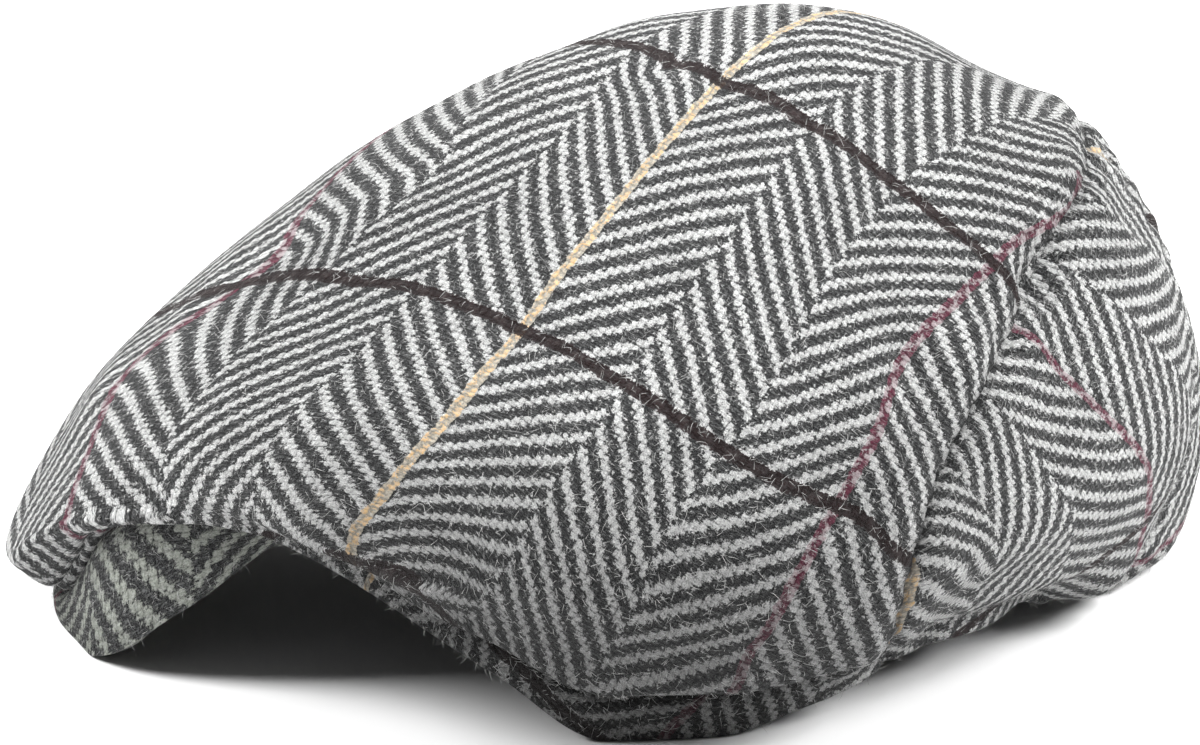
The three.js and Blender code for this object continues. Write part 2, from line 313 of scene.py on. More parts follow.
@dataclass(frozen=True)
class PhotoCamera:
    """The camera that sees the cap from its left side, a little from above."""

    elevation: float = CAMERA_ELEVATION
    distance: float = CAMERA_DISTANCE
    target: tuple[float, float, float] = CAMERA_TARGET
    focal_pixels: float = PIXELS_PER_MM * CAMERA_DISTANCE

    def eye(self) -> np.ndarray:
        """The camera's place.

        Returns:
            The place in millimetres.
        """
        turn = self.elevation * DEGREE
        away = np.array([math.cos(turn), 0, math.sin(turn)])
        return np.array(self.target) + self.distance * away

    def axes(self) -> np.ndarray:
        """The picture's directions.

        Returns:
            The directions right, up and back, one a row.
        """
        back = unit(self.eye() - np.array(self.target))
        right = np.array([0.0, 1.0, 0.0])
        return np.stack([right, np.cross(back, right), back])

    def project(self, points: np.ndarray) -> tuple[np.ndarray, np.ndarray]:
        """Where points fall in the picture.

        Args:
            points: Points in millimetres, one a row.

        Returns:
            The places in pixels, and the distances in front of the camera.
        """
        seen = (points - self.eye()) @ self.axes().T
        depth = -seen[:, 2]
        x = PICTURE_WIDTH / 2 + self.focal_pixels * seen[:, 0] / depth
        y = PICTURE_HEIGHT / 2 - self.focal_pixels * seen[:, 1] / depth
        return np.stack([x, y], axis=1), depth

    def build(self) -> bpy.types.Object:
        """Makes the camera and has the scene use it.

        Returns:
            The camera.
        """
        data = bpy.data.cameras.new("camera")
        data.sensor_width = SENSOR_WIDTH
        data.lens = self.focal_pixels * SENSOR_WIDTH / PICTURE_WIDTH
        data.clip_end = 20
        camera = add_object("camera", data)
        shift = Vector((0, ORIGIN_SHIFT, 0))
        camera.location = (Vector(self.eye()) + shift) * MM
        look = (Vector(self.target) + shift) * MM - camera.location
        camera.rotation_euler = look.to_track_quat("-Z", "Y").to_euler()
        bpy.context.scene.camera = camera
        return camera


@dataclass(frozen=True)
class CrownSurface:
    """The crown's outer face as a function of the angle and the ring.

    The tables hold shares of the named sizes, as the solids' own do.
    """

    front_reach: float = 135.0
    back_reach: float = 124.0
    half_width: float = 107.0
    crown_height: float = 132.0
    opening_front: float = 97.0
    opening_half_width: float = 82.0
    opening_back: float = 94.0
    temple_rise: float = 38.0
    sag_reach: float = 17.0
    sag_rise: float = 22.0
    hem_wall: float = 3.4
    edge_ring: float = 8.0
    # Shift of the ring's centre, its reaches and its heights at the five stations
    rings: tuple = (
        (0.266, (0, 0, 0, 0, 0), (1, 1, 1, 1, 1)),
        (0.25, (0.267, 0.253, 0.252, 0.227, 0.218), (0.951, 0.962, 0.97, 0.977, 0.973)),
        (0.177, (0.533, 0.523, 0.523, 0.48, 0.468), (0.799, 0.833, 0.864, 0.886, 0.894)),
        (0.097, (0.741, 0.742, 0.766, 0.716, 0.71), (0.565, 0.635, 0.692, 0.75, 0.795)),
        (0.04, (0.875, 0.885, 0.935, 0.89, 0.911), (0.345, 0.455, 0.51, 0.561, 0.606)),
    )
    # Angle, lip, opening, rise, crease out, crease up, sag out, sag up, bulge, bulge up
    edge: tuple = (
        (0, 0.938, 0, 0.13, 0.06, 0.1, 0.38, 0.35, 1, 0.135),
        (6, 0.925, 0, 0.18, 0.06, 0.1, 0.4, 0.34, 0.998, 0.145),
        (13, 0.9, 0, 0.48, 0.06, 0.09, 0.4, 0.3, 0.988, 0.2),
        (21, 0.881, 0, 0.86, 0.06, 0.06, 0.25, 0.13, 0.95, 0.283),
        (28, 0.415, 0.6, 1, 0.06, 0.07, 0.18, 0.14, 0.9, 0.315),
        (40, 0, 1.078, 0.97, 0.06, 0.14, 0.24, 0.27, 0.885, 0.355),
        (55, 0, 1.028, 0.71, 0.06, 0.36, 0.41, 0.55, 0.935, 0.345),
        (70, 0, 1.011, 0.35, 0.12, 0.5, 0.65, 0.77, 0.965, 0.325),
        (88, 0, 1, 0, 0.24, 0.59, 0.88, 1, 1, 0.318),
        (104, 0, 1.006, 0, 0.24, 0.55, 0.94, 0.95, 0.998, 0.318),
        (118, 0, 1.01, 0.13, 0.24, 0.41, 1, 0.86, 0.985, 0.33),
        (136, 0, 0.973, 0.29, 0.18, 0.27, 0.88, 0.77, 0.969, 0.348),
        (160, 0, 0.965, 0.21, 0.18, 0.27, 0.94, 0.68, 0.98, 0.356),
        (174, 0, 0.996, 0, 0.18, 0.23, 0.94, 0.64, 1, 0.364),
        (180, 0, 1, 0, 0.18, 0.23, 0.94, 0.64, 1, 0.364),
    )
    # Angle, ring, spread, rings, out and up, the last two as shares of the sag's reach
    folds: tuple = (
        (180, 6, 9, 1.6, -0.5, 0),
        (-165, 6, 18, 1.15, 1.17, -0.64),
        (147, 3.5, 9, 0.7, -0.2, 0),
    )

    def body_reach(self, angle: np.ndarray) -> np.ndarray:
        """Reach of the crown's plan outline."""
        along = np.where(np.cos(angle * DEGREE) > 0, self.front_reach, self.back_reach)
        return ellipse_reach(along, self.half_width, angle)

    def edge_at(self, angle: np.ndarray) -> tuple[np.ndarray, np.ndarray, list[np.ndarray]]:
        """The crown's lower edge.

        Args:
            angle: Angles in degrees.

        Returns:
            The edge's reach, its height, and the other columns of its table.
        """
        bare = np.abs(wrap_angle(angle))
        table = np.array(self.edge, float)
        columns = [read_column(table, k, bare) for k in range(1, table.shape[1])]
        along = np.where(bare < 90, self.opening_front, self.opening_back)
        opening = ellipse_reach(along, self.opening_half_width, bare)
        reach = columns[0] * self.front_reach + columns[1] * opening
        return reach, columns[2] * self.temple_rise, columns[3:]

    def ring_points(self, angle: np.ndarray) -> list[np.ndarray]:
        """The points of the section rings.

        Args:
            angle: Angles in degrees.

        Returns:
            An array of points for each ring, from the top to the edge.
        """
        stations = self.body_reach(np.array([0, 45, 90, 135, 180.0]))
        points = []
        for centre, reach, height in self.rings:
            reaches = through_stations(np.array(reach) * stations, angle)
            heights = through_stations(np.array(height) * self.crown_height, angle)
            points.append(polar_points(angle, centre * self.back_reach, reaches, heights))
        reach, height, columns = self.edge_at(angle)
        crease_out, crease_up, sag_out, sag_up, bulge, bulge_up = columns
        bulge_reach = bulge * self.body_reach(angle)
        points.append(polar_points(angle, 0, bulge_reach, bulge_up * self.crown_height))
        for out, up in ((sag_out, sag_up), (crease_out, crease_up), (0, 0)):
            points.append(
                polar_points(angle, 0, reach + out * self.sag_reach, height + up * self.sag_rise)
            )
        return points

    def point(self, angle: np.ndarray, ring: np.ndarray) -> np.ndarray:
        """Points of the outer face.

        Args:
            angle: Angles in degrees.
            ring: Rings, from 0 at the top to the edge ring.

        Returns:
            The points in millimetres, one a row.
        """
        angle, ring = np.broadcast_arrays(np.asarray(angle, float), np.asarray(ring, float))
        points = self.ring_points(angle)
        before = self.ring_points(angle + 180)[1]
        after = 2 * points[-1] - points[-2]
        run = np.stack([before, *points, after])
        i = np.clip(np.floor(ring).astype(int), 0, len(points) - 2)
        pick = np.arange(len(i))
        made = through_points(*(run[i + k, pick] for k in range(4)), (ring - i)[:, None])
        fade = smooth_step(self.edge_ring - ring, 0, 1)
        for at, level, spread, rings, out, up in self.folds:
            across = wrap_angle(angle - at) / spread
            along = (ring - level) / rings
            weight = self.sag_reach * fade * np.exp(-(across**2) - along**2)
            made += polar_points(angle, 0, weight * out, weight * up)
        return made

    def normal(self, angle: np.ndarray, ring: np.ndarray) -> np.ndarray:
        """The outward directions of the face.

        Args:
            angle: Angles in degrees.
            ring: Rings, from 0 at the top to the edge ring.

        Returns:
            The directions, one a row.
        """
        angle, ring = np.broadcast_arrays(np.asarray(angle, float), np.asarray(ring, float))
        step = 0.03
        low = np.clip(ring - step, step, self.edge_ring - 2 * step)
        down = self.point(angle, low + 2 * step) - self.point(angle, low)
        level = np.maximum(ring, step)
        across = self.point(angle + 1, level) - self.point(angle - 1, level)
        return unit(np.cross(down, across))


@dataclass(frozen=True)
class SeamLayout:
    """Where the seams run on the crown, by angle and ring."""

    # The seam between the main panel and the back panels, from the middle back to the hem
    arch: tuple = (
        (180, 2.9), (168, 3), (156, 3.15), (147, 3.4), (138, 3.7), (130, 4.05),
        (124.5, 4.5), (122, 5.1), (122.5, 6), (126, 7), (130, 8),
    )  # fmt: skip
    fineness: int = 120

    def top_ring(self) -> float:
        """The ring at which the arch seam crosses the middle of the back."""
        return float(self.arch[0][1])

    def half_arch(self) -> np.ndarray:
        """Places of the arch seam on one side.

        Returns:
            Angles and rings, smooth through the listed ones.
        """
        mirrored = [(360 - a, r) for a, r in self.arch[1:]]
        whole = np.array([*reversed(self.arch), *mirrored], float)
        last = len(self.arch) - 1
        places = np.linspace(last, 0, self.fineness + 1)
        i = np.clip(np.floor(places).astype(int), 0, len(whole) - 2)
        t = (places - i)[:, None]
        padded = np.vstack([2 * whole[0] - whole[1], whole, 2 * whole[-1] - whole[-2]])
        return through_points(*(padded[i + k] for k in range(4)), t)

    def arch_angle(self, ring: np.ndarray) -> np.ndarray:
        """The arch seam's angle at rings.

        Args:
            ring: The rings.

        Returns:
            The angles in degrees, which are 180 above the seam.
        """
        places = self.half_arch()
        rings = np.maximum.accumulate(places[:, 1])
        return np.where(ring <= self.top_ring(), 180.0, np.interp(ring, rings, places[:, 0]))

    def lines(self, surface: CrownSurface) -> list[np.ndarray]:
        """The seams as lines of points.

        Args:
            surface: The crown's surface.

        Returns:
            The arch's left half, its right half and the back seam.
        """
        places = self.half_arch()
        rings = np.linspace(self.top_ring(), surface.edge_ring, self.fineness)
        return [
            surface.point(places[:, 0], places[:, 1]),
            surface.point(-places[:, 0], places[:, 1]),
            surface.point(np.full(len(rings), 180.0), rings),
        ]


@dataclass
class PhotoFinder:
    """Finds the place on the crown that a point of the picture shows."""

    surface: CrownSurface
    camera: PhotoCamera
    angle_step: float = 2.0
    ring_step: float = 0.1
    reach_pixels: float = 14.0
    spots: tuple = field(init=False)

    def __post_init__(self) -> None:
        """Works out where a grid of places shows, once."""
        self.spots = self.grid()

    def grid(self) -> tuple[np.ndarray, np.ndarray, np.ndarray, np.ndarray]:
        """A grid of places that face the camera.

        Returns:
            Their angles, rings, pixels and distances.
        """
        angles = np.arange(-180, 180, self.angle_step)
        rings = np.arange(self.ring_step, self.surface.edge_ring, self.ring_step)
        angle, ring = (part.ravel() for part in np.meshgrid(angles, rings))
        points = self.surface.point(angle, ring)
        to_eye = self.camera.eye() - points
        facing = (self.surface.normal(angle, ring) * to_eye).sum(axis=1) > 0
        seen, depth = self.camera.project(points)
        return angle[facing], ring[facing], seen[facing], depth[facing]

    def find(self, pixels: tuple) -> np.ndarray:
        """The places that points of the picture show.

        Args:
            pixels: Points of the picture, as (x, y) in its own pixels.

        Returns:
            The angle and ring of each, one a row.
        """
        angle, ring, seen, depth = self.spots
        found = []
        for pixel in np.array(pixels, float):
            far = np.hypot(*(seen - pixel).T)
            near = far < max(self.reach_pixels, far.min() + 1)
            front = depth < depth[near].min() + 12
            best = np.argmin(np.where(near & front, far, np.inf))
            found.append(self.refine(pixel, angle[best], ring[best]))
        return np.array(found)

    def refine(self, pixel: np.ndarray, angle: float, ring: float) -> tuple[float, float]:
        """Moves a place until it shows at the pixel.

        Args:
            pixel: The point of the picture.
            angle: The place's angle to start from.
            ring: The place's ring to start from.

        Returns:
            The angle and the ring that were reached.
        """
        step = np.array([0.2, 0.01])
        for _ in range(4):
            ask = np.array([[angle, ring], [angle + step[0], ring], [angle, ring + step[1]]])
            seen, _ = self.camera.project(self.surface.point(ask[:, 0], ask[:, 1]))
            slope = np.stack([(seen[1] - seen[0]) / step[0], (seen[2] - seen[0]) / step[1]], axis=1)
            if abs(np.linalg.det(slope)) < 1:
                break
            move = np.clip(np.linalg.solve(slope, pixel - seen[0]), (-2, -0.1), (2, 0.1))
            angle += move[0]
            ring = float(np.clip(ring + move[1], 0.02, self.surface.edge_ring - 0.02))
        return angle, ring


@dataclass(frozen=True)
class PatternLine:
    """A line of the windowpane: the thread it is, its place in the cloth and where it is seen."""

    thread: Thread
    place: float
    pixels: tuple


# The lines of the main panel, and the turns of its herringbone between them, from the picture
MAIN_LINES = (
    PatternLine(Thread.WARP, 0, (
        (850, 14), (800, 28), (760, 52), (720, 88), (655, 160), (590, 240), (525, 328),
        (450, 420), (400, 480), (350, 535),
    )),
    PatternLine(Thread.WARP, PANE, (
        (1078, 170), (1020, 235), (985, 268), (935, 315), (900, 350), (885, 400), (862, 455),
        (840, 500), (812, 545), (780, 600), (745, 655), (722, 690),
    )),
    PatternLine(Thread.WARP, -PANE, (
        (296, 248), (245, 292), (156, 357), (113, 398),
    )),
    PatternLine(Thread.WARP, PANE / 3, (
        (768, 185), (735, 232), (710, 262), (690, 290), (665, 325), (640, 365), (615, 405),
        (590, 440), (562, 475), (540, 503), (520, 535),
    )),
    PatternLine(Thread.WARP, 2 * PANE / 3, (
        (905, 175), (868, 222), (848, 248), (828, 278), (812, 308), (795, 345), (775, 382),
        (748, 425), (715, 462), (690, 492), (668, 525), (650, 560), (640, 600),
    )),
    PatternLine(Thread.WARP, -PANE / 3, (
        (585, 112), (555, 140), (522, 172), (500, 195), (478, 215), (455, 240), (425, 280),
        (398, 315), (372, 348), (345, 375), (318, 398),
    )),
    PatternLine(Thread.WARP, -2 * PANE / 3, (
        (455, 150), (430, 178), (400, 205), (365, 230), (340, 250), (312, 280), (285, 308),
        (258, 338),
    )),
    PatternLine(Thread.WEFT, PANE, (
        (660, 70), (720, 92), (801, 127), (880, 178), (948, 231), (1018, 301),
    )),
    PatternLine(Thread.WEFT, 0, (
        (245, 292), (303, 277), (351, 285), (450, 306), (520, 336), (600, 377),
        (701, 440), (803, 495), (852, 510), (904, 564),
    )),
    PatternLine(Thread.WEFT, -PANE, ((344, 548), (428, 570), (481, 648))),
)  # fmt: skip

# The lines that cross the left back panel
BACK_LINES = (
    PatternLine(Thread.WARP, 2 * PANE, ((1093, 165), (1110, 185))),
    PatternLine(Thread.WARP, PANE, ((1010, 335), (1060, 385), (1105, 425), (1150, 470))),
    PatternLine(Thread.WARP, 0, ((934, 513), (960, 557))),
    PatternLine(Thread.WEFT, 0, ((1188, 440), (1176, 480))),
)


@dataclass
class ClothPattern:
    """Lays a panel's flat cloth on the crown with as little strain as it can.

    The cloth coordinates are millimetres of the flat cloth, across the warp and along it. They are
    worked out at a coarse net of places, held to where the picture shows the windowpane's lines,
    and read smoothly between them.
    """

    surface: CrownSurface
    angles: np.ndarray
    rings: np.ndarray
    closed: bool
    grain: tuple[tuple[float, float], tuple[float, float]]
    held: list[tuple[Thread, float, np.ndarray]]
    in_panel: Callable[[float, float], bool] | None = None
    rounds: int = 60
    hold: float = 5.0
    outside_weight: float = 0.02
    net: np.ndarray = field(init=False)

    def __post_init__(self) -> None:
        """Solves the net."""
        self.net = self.solve()

    def ids(self) -> np.ndarray:
        """Numbers the unknowns of the net.

        Returns:
            The number of the unknown at each ring and angle.
        """
        rows, columns = len(self.rings), len(self.angles)
        numbers = np.arange(rows * columns).reshape(rows, columns)
        if self.closed:
            numbers[0] = 0
            numbers[1:] -= columns - 1
        return numbers

    def weights(self, place: np.ndarray) -> list[tuple[int, float]]:
        """The unknowns that a place lies between.

        Args:
            place: The angle and the ring.

        Returns:
            The number and the share of each.
        """
        columns = len(self.angles)
        step = self.angles[1] - self.angles[0]
        x = (place[0] - self.angles[0]) / step
        x = x % columns if self.closed else min(max(x, 0), columns - 1.001)
        y = np.interp(place[1], self.rings, np.arange(len(self.rings)))
        i, j = int(x), min(int(y), len(self.rings) - 2)
        s, t = x - i, y - j
        k = (i + 1) % columns
        numbers = self.ids()
        return [
            (numbers[j, i], (1 - s) * (1 - t)), (numbers[j, k], s * (1 - t)),
            (numbers[j + 1, i], (1 - s) * t), (numbers[j + 1, k], s * t),
        ]  # fmt: skip

    def solve(self) -> np.ndarray:
        """The cloth coordinates at the net.

        Returns:
            An array of ring by angle by coordinate.
        """
        numbers = self.ids()
        rows, columns = numbers.shape
        angle, ring = np.meshgrid(self.angles, self.rings)
        points = self.surface.point(angle.ravel(), ring.ravel())
        steps = np.linalg.norm(np.diff(points.reshape(rows, columns, 3), axis=0), axis=2)
        down = np.vstack([np.zeros(columns), np.cumsum(steps, axis=0)])
        count = numbers.max() + 1
        place = np.zeros((count, 3))
        start = np.zeros((count, 2))
        if self.closed:
            flat = np.stack([down * np.sin(angle * DEGREE), -down * np.cos(angle * DEGREE)], axis=2)
        else:
            middle = points.reshape(rows, columns, 3)
            across = np.linalg.norm(np.diff(middle, axis=1), axis=2)
            along = np.hstack([np.zeros((rows, 1)), np.cumsum(across, axis=1)])
            flat = np.stack([along - along.mean(axis=1, keepdims=True), -down], axis=2)
        place[numbers.ravel()] = points
        start[numbers.ravel()] = flat.reshape(-1, 2) @ np.array(self.grain, float).T
        faces = []
        share = []
        for j in range(rows - 1):
            for i in range(columns if self.closed else columns - 1):
                k = (i + 1) % columns
                a, b = numbers[j, i], numbers[j, k]
                c, d = numbers[j + 1, i], numbers[j + 1, k]
                middle_angle = self.angles[i] + (self.angles[1] - self.angles[0]) / 2
                middle_ring = (self.rings[j] + self.rings[j + 1]) / 2
                inside = self.in_panel is None or self.in_panel(middle_angle, middle_ring)
                for face in ((a, c, d), (a, d, b)):
                    if len(set(face)) == 3:
                        faces.append(face)
                        share.append(1.0 if inside else self.outside_weight)
        faces, share = np.array(faces), np.array(share)
        return self.relax(place, start, faces, share)[numbers]

    def relax(
        self, place: np.ndarray, start: np.ndarray, faces: np.ndarray, share: np.ndarray
    ) -> np.ndarray:
        """Turns each small face of the flat cloth as its own, and fits them together again.

        Args:
            place: The points on the crown.
            start: The first guess of the cloth coordinates.
            faces: The faces, by the numbers of their points.
            share: How much each face counts.

        Returns:
            The cloth coordinates of the points.
        """
        p0, p1, p2 = (place[faces[:, k]] for k in range(3))
        e1 = unit(p1 - p0)
        normal = np.cross(p1 - p0, p2 - p0)
        area = np.linalg.norm(normal, axis=1) / 2
        e2 = np.cross(unit(normal), e1)
        x1 = np.linalg.norm(p1 - p0, axis=1)
        x2, y2 = ((p2 - p0) * e1).sum(axis=1), ((p2 - p0) * e2).sum(axis=1)
        det = np.maximum(x1 * y2, 1e-9)
        zero = np.zeros_like(x1)
        # Gradient of each corner's weight over the face
        grad = np.stack([
            np.stack([-y2, x2 - x1], axis=1),
            np.stack([y2, -x2], axis=1),
            np.stack([zero, x1], axis=1),
        ], axis=1) / det[:, None, None]  # fmt: skip
        strength = share * area
        count = len(place)
        matrix = np.zeros((2, count, count))
        for a in range(3):
            for b in range(3):
                value = strength * (grad[:, a] * grad[:, b]).sum(axis=1)
                for k in range(2):
                    np.add.at(matrix[k], (faces[:, a], faces[:, b]), value)
        held_side = np.zeros((2, count))
        for thread, at, places in self.held:
            for spot in places:
                shares = self.weights(spot)
                for a, wa in shares:
                    held_side[thread.value, a] += self.hold * wa * at
                    for b, wb in shares:
                        matrix[thread.value, a, b] += self.hold * wa * wb
        matrix += np.eye(count) * 1e-7
        solver = [np.linalg.inv(matrix[k]) for k in range(2)]
        flat = start
        for _ in range(self.rounds):
            jacobian = np.einsum("fak,fad->fkd", flat[faces], grad)
            cosine = jacobian[:, 0, 0] + jacobian[:, 1, 1]
            sine = jacobian[:, 1, 0] - jacobian[:, 0, 1]
            size = np.maximum(np.hypot(cosine, sine), 1e-9)
            cosine, sine = cosine / size, sine / size
            turn = np.array([[cosine, -sine], [sine, cosine]]).transpose(2, 0, 1)
            sides = held_side.copy()
            for a in range(3):
                pull = strength[:, None] * np.einsum("fkd,fd->fk", turn, grad[:, a])
                for k in range(2):
                    np.add.at(sides[k], faces[:, a], pull[:, k])
            flat = np.stack([solver[k] @ sides[k] for k in range(2)], axis=1)
        return flat

    def read(self, angle: np.ndarray, ring: np.ndarray) -> np.ndarray:
        """The cloth coordinates at places, smooth between the net's.

        Args:
            angle: Angles in degrees.
            ring: Rings within the net's.

        Returns:
            The two coordinates in millimetres, one pair a row.
        """
        rows, columns, _ = self.net.shape
        step = self.angles[1] - self.angles[0]
        x = (angle - self.angles[0]) / step
        y = np.interp(ring, self.rings, np.arange(rows))
        i, j = np.floor(x).astype(int), np.clip(np.floor(y).astype(int), 0, rows - 2)
        s, t = (x - i)[:, None], (y - j)[:, None]

        def at(row: np.ndarray, column: np.ndarray) -> np.ndarray:
            """The net's value, carried on past its ends."""
            if self.closed:
                over = row < 0
                column = np.where(over, column + columns // 2, column) % columns
                return self.net[np.clip(np.abs(row), 0, rows - 1), column]
            return self.net[np.clip(row, 0, rows - 1), np.clip(column, 0, columns - 1)]

        near = (-1, 0, 1, 2)
        lines = [through_points(*(at(j + k, i + m) for m in near), s) for k in near]
        return through_points(*lines, t)


@dataclass(frozen=True)
class PhotoFold:
    """A fold or dent of the cloth: its line in the picture, its width and how far it stands out."""

    pixels: tuple
    width: float
    height: float


# Folds and dents that the picture shows on the near side
PHOTO_FOLDS = (
    PhotoFold(((872, 395), (880, 430), (905, 480), (940, 530), (965, 565)), 8, 1.5),
    PhotoFold(((915, 380), (925, 430), (955, 485), (985, 540)), 8, -1.5),
    PhotoFold(((1040, 262), (1036, 285)), 5, -3.4),
    PhotoFold(((985, 300), (1000, 335), (1004, 365)), 5, -1.6),
    PhotoFold(((850, 395), (845, 440), (830, 490)), 8, -1.4),
    PhotoFold(((960, 330), (940, 400), (950, 440)), 7, 1.4),
)


@dataclass(frozen=True)
class RingBand:
    """A band of the crown about one ring, in which the cloth is shaped."""

    ring: float
    spread: float

    def share(self, ring: np.ndarray) -> np.ndarray:
        """How much of the band's effect there is at the rings."""
        return bell(ring, self.ring, self.spread)


@dataclass
class CrownCloth:
    """The crown's cloth as it is seen: the plain surface with its seams, puckers and folds."""

    surface: CrownSurface
    seams: SeamLayout
    folds: list[tuple[np.ndarray, float, float]]
    seam_dip: float = 1.1
    seam_width: float = 1.9
    seam_swell: float = 0.7
    pucker: float = 0.55
    pucker_length: float = 8.5
    ripple: float = 0.8
    hem_rise: float = 11.0
    hem_turn: float = 0.35
    hem_rings: float = 0.75
    roll_out: float = 1.0
    roll_droop: float = 3.2
    pocket_depth: float = 4.6
    pocket_droop: float = 3.2
    brow_bulge: float = 4.0
    back_tuck: float = 3.4
    lobe_angle: float = -165.0
    lobe_spread: float = 22.0
    lobe_ease: float = 3.0
    # The bands in which the lip, the brow and the sagging side are shaped, and in which painted shade
    # darkens the pocket
    easing_band: RingBand = RingBand(5.3, 1.0)
    roll_band: RingBand = RingBand(5.5, 0.6)
    droop_band: RingBand = RingBand(6.3, 0.8)
    brow_band: RingBand = RingBand(3.9, 0.75)
    pocket_band: RingBand = RingBand(6.92, 0.3)
    sag_band: RingBand = RingBand(6.25, 0.36)
    pocket_shade_band: RingBand = RingBand(6.95, 0.33)
    # How far the eased lip looks up and down, in rings, with the share of each look
    easing_reach: float = 0.3
    easing: tuple = ((0.12, -2), (0.23, -1), (0.3, 0), (0.23, 1), (0.12, 2))
    # How much painted shade darkens the seams, the low side, the dents, the pocket and the turned hem
    seam_shade: float = 0.35
    side_shade: float = 0.7
    dent_shade: float = 0.4
    pocket_shade: float = 0.5
    hem_shade: float = 0.3
    deep_dent: float = -2.0

    def lip_share(self, angle: np.ndarray) -> np.ndarray:
        """How much of the full roll of the front lip there is at the angles."""
        return 1 - smooth_step(np.abs(wrap_angle(angle)), 24, 46)

    def pocket_share(self, angle: np.ndarray) -> np.ndarray:
        """How much the cloth sags over its hem at the angles."""
        bare = np.abs(wrap_angle(angle))
        return smooth_step(bare, 46, 64) * (1 - 0.75 * smooth_step(bare, 84, 128))

    def shape(self, angle: np.ndarray, ring: np.ndarray) -> np.ndarray:
        """The plain surface, with its lip eased into a roll and its side sagging over the hem.

        Args:
            angle: Angles in degrees.
            ring: Rings, up to the edge ring.

        Returns:
            The points in millimetres, one a row.
        """
        lip = self.lip_share(angle)
        reach = self.easing_reach * lip * self.easing_band.share(ring)
        total = np.zeros((len(angle), 3))
        for share, step in self.easing:
            level = np.clip(ring + step * reach, 0, self.surface.edge_ring)
            total += share * self.surface.point(angle, level)
        fade = smooth_step(self.surface.edge_ring - ring, 0.1, 0.7)
        out = self.roll_out * lip * self.roll_band.share(ring)
        drop = self.roll_droop * lip * self.droop_band.share(ring)
        brow = 1 - smooth_step(np.abs(wrap_angle(angle)), 30, 75)
        swell = self.brow_bulge * brow * self.brow_band.share(ring)
        out, drop = out + 0.75 * swell, drop - 0.65 * swell
        pocket = self.pocket_share(angle)
        out -= self.pocket_depth * pocket * self.pocket_band.share(ring)
        drop += self.pocket_droop * pocket * self.sag_band.share(ring)
        return total + polar_points(angle, 0, out * fade, -drop * fade)

    def shade(self, angle: np.ndarray, ring: np.ndarray, points: np.ndarray) -> np.ndarray:
        """The painted shade of the cloth, as a share of its full brightness.

        Args:
            angle: Angles in degrees.
            ring: Rings, up to one past the edge ring.
            points: The cloth's points there.

        Returns:
            Shares of the full brightness that the painted shade leaves, lowest in the seams, low on
            the side and in the pocket.
        """
        # Painted shade along the seams
        far = np.full(len(points), np.inf)
        for line in self.seams.lines(self.surface):
            far = np.minimum(far, distance_to_line(points, line)[0])
        painted_shade = 1 - self.seam_shade * bell(far, 0, 1.3)
        # Painted shade low on the sides, where the cloth turns down and under
        bare = np.abs(wrap_angle(angle))
        side = smooth_step(bare, 32, 62) * (1 - smooth_step(bare, 100, 150))
        painted_shade -= self.side_shade * side * smooth_step(ring, 3.2, 6.1)
        # Painted shade in the deep dents
        for line, width, height in self.folds:
            if height < self.deep_dent:
                painted_shade -= self.dent_shade * bell(distance_to_line(points, line)[0], 0, 0.6 * width)
        # Painted shade in the pocket where the side sags over the hem
        painted_shade -= self.pocket_shade * self.pocket_share(angle) * self.pocket_shade_band.share(ring)
        # Painted shade on the turned hem past the edge, inside the cap
        edge = self.surface.edge_ring
        return np.clip(painted_shade - self.hem_shade * smooth_step(ring, edge, edge + 0.3), 0.1, 1)

    def relief(self, points: np.ndarray) -> np.ndarray:
        """How far the cloth stands out from the plain surface.

        Args:
            points: Points of the plain surface, one a row.

        Returns:
            The distance at each point, less than 0 in a dent.
        """
        out = np.zeros(len(points))
        far = np.full(len(points), np.inf)
        along = np.zeros(len(points))
        for line in self.seams.lines(self.surface):
            d, s = distance_to_line(points, line)
            along = np.where(d < far, s, along)
            far = np.minimum(far, d)
        out -= self.seam_dip * bell(far, 0, self.seam_width)
        out += self.seam_swell * bell(far, 6.5, 3.8)
        wave = np.sin(along / self.pucker_length * 2 * np.pi + 0.9 * np.sin(along / 17))
        out += self.pucker * wave * bell(far, 0, self.pucker_length)
        for line, width, height in self.folds:
            out += height * bell(distance_to_line(points, line)[0], 0, width)
        return out + self.ripple * self.waves(points)

    @staticmethod
    def waves(points: np.ndarray) -> np.ndarray:
        """Slow unevenness of the cloth.

        Args:
            points: Points of the plain surface, one a row.

        Returns:
            The unevenness at each, between about -1 and 1.
        """
        chance = np.random.default_rng(SEED)
        total = np.zeros(len(points))
        for length in (70, 52, 38, 30, 24, 19):
            direction = unit(chance.normal(size=3))
            phase = chance.uniform(0, 2 * np.pi)
            total += (length / 70) * np.sin(points @ direction * 2 * np.pi / length + phase)
        return total / 2

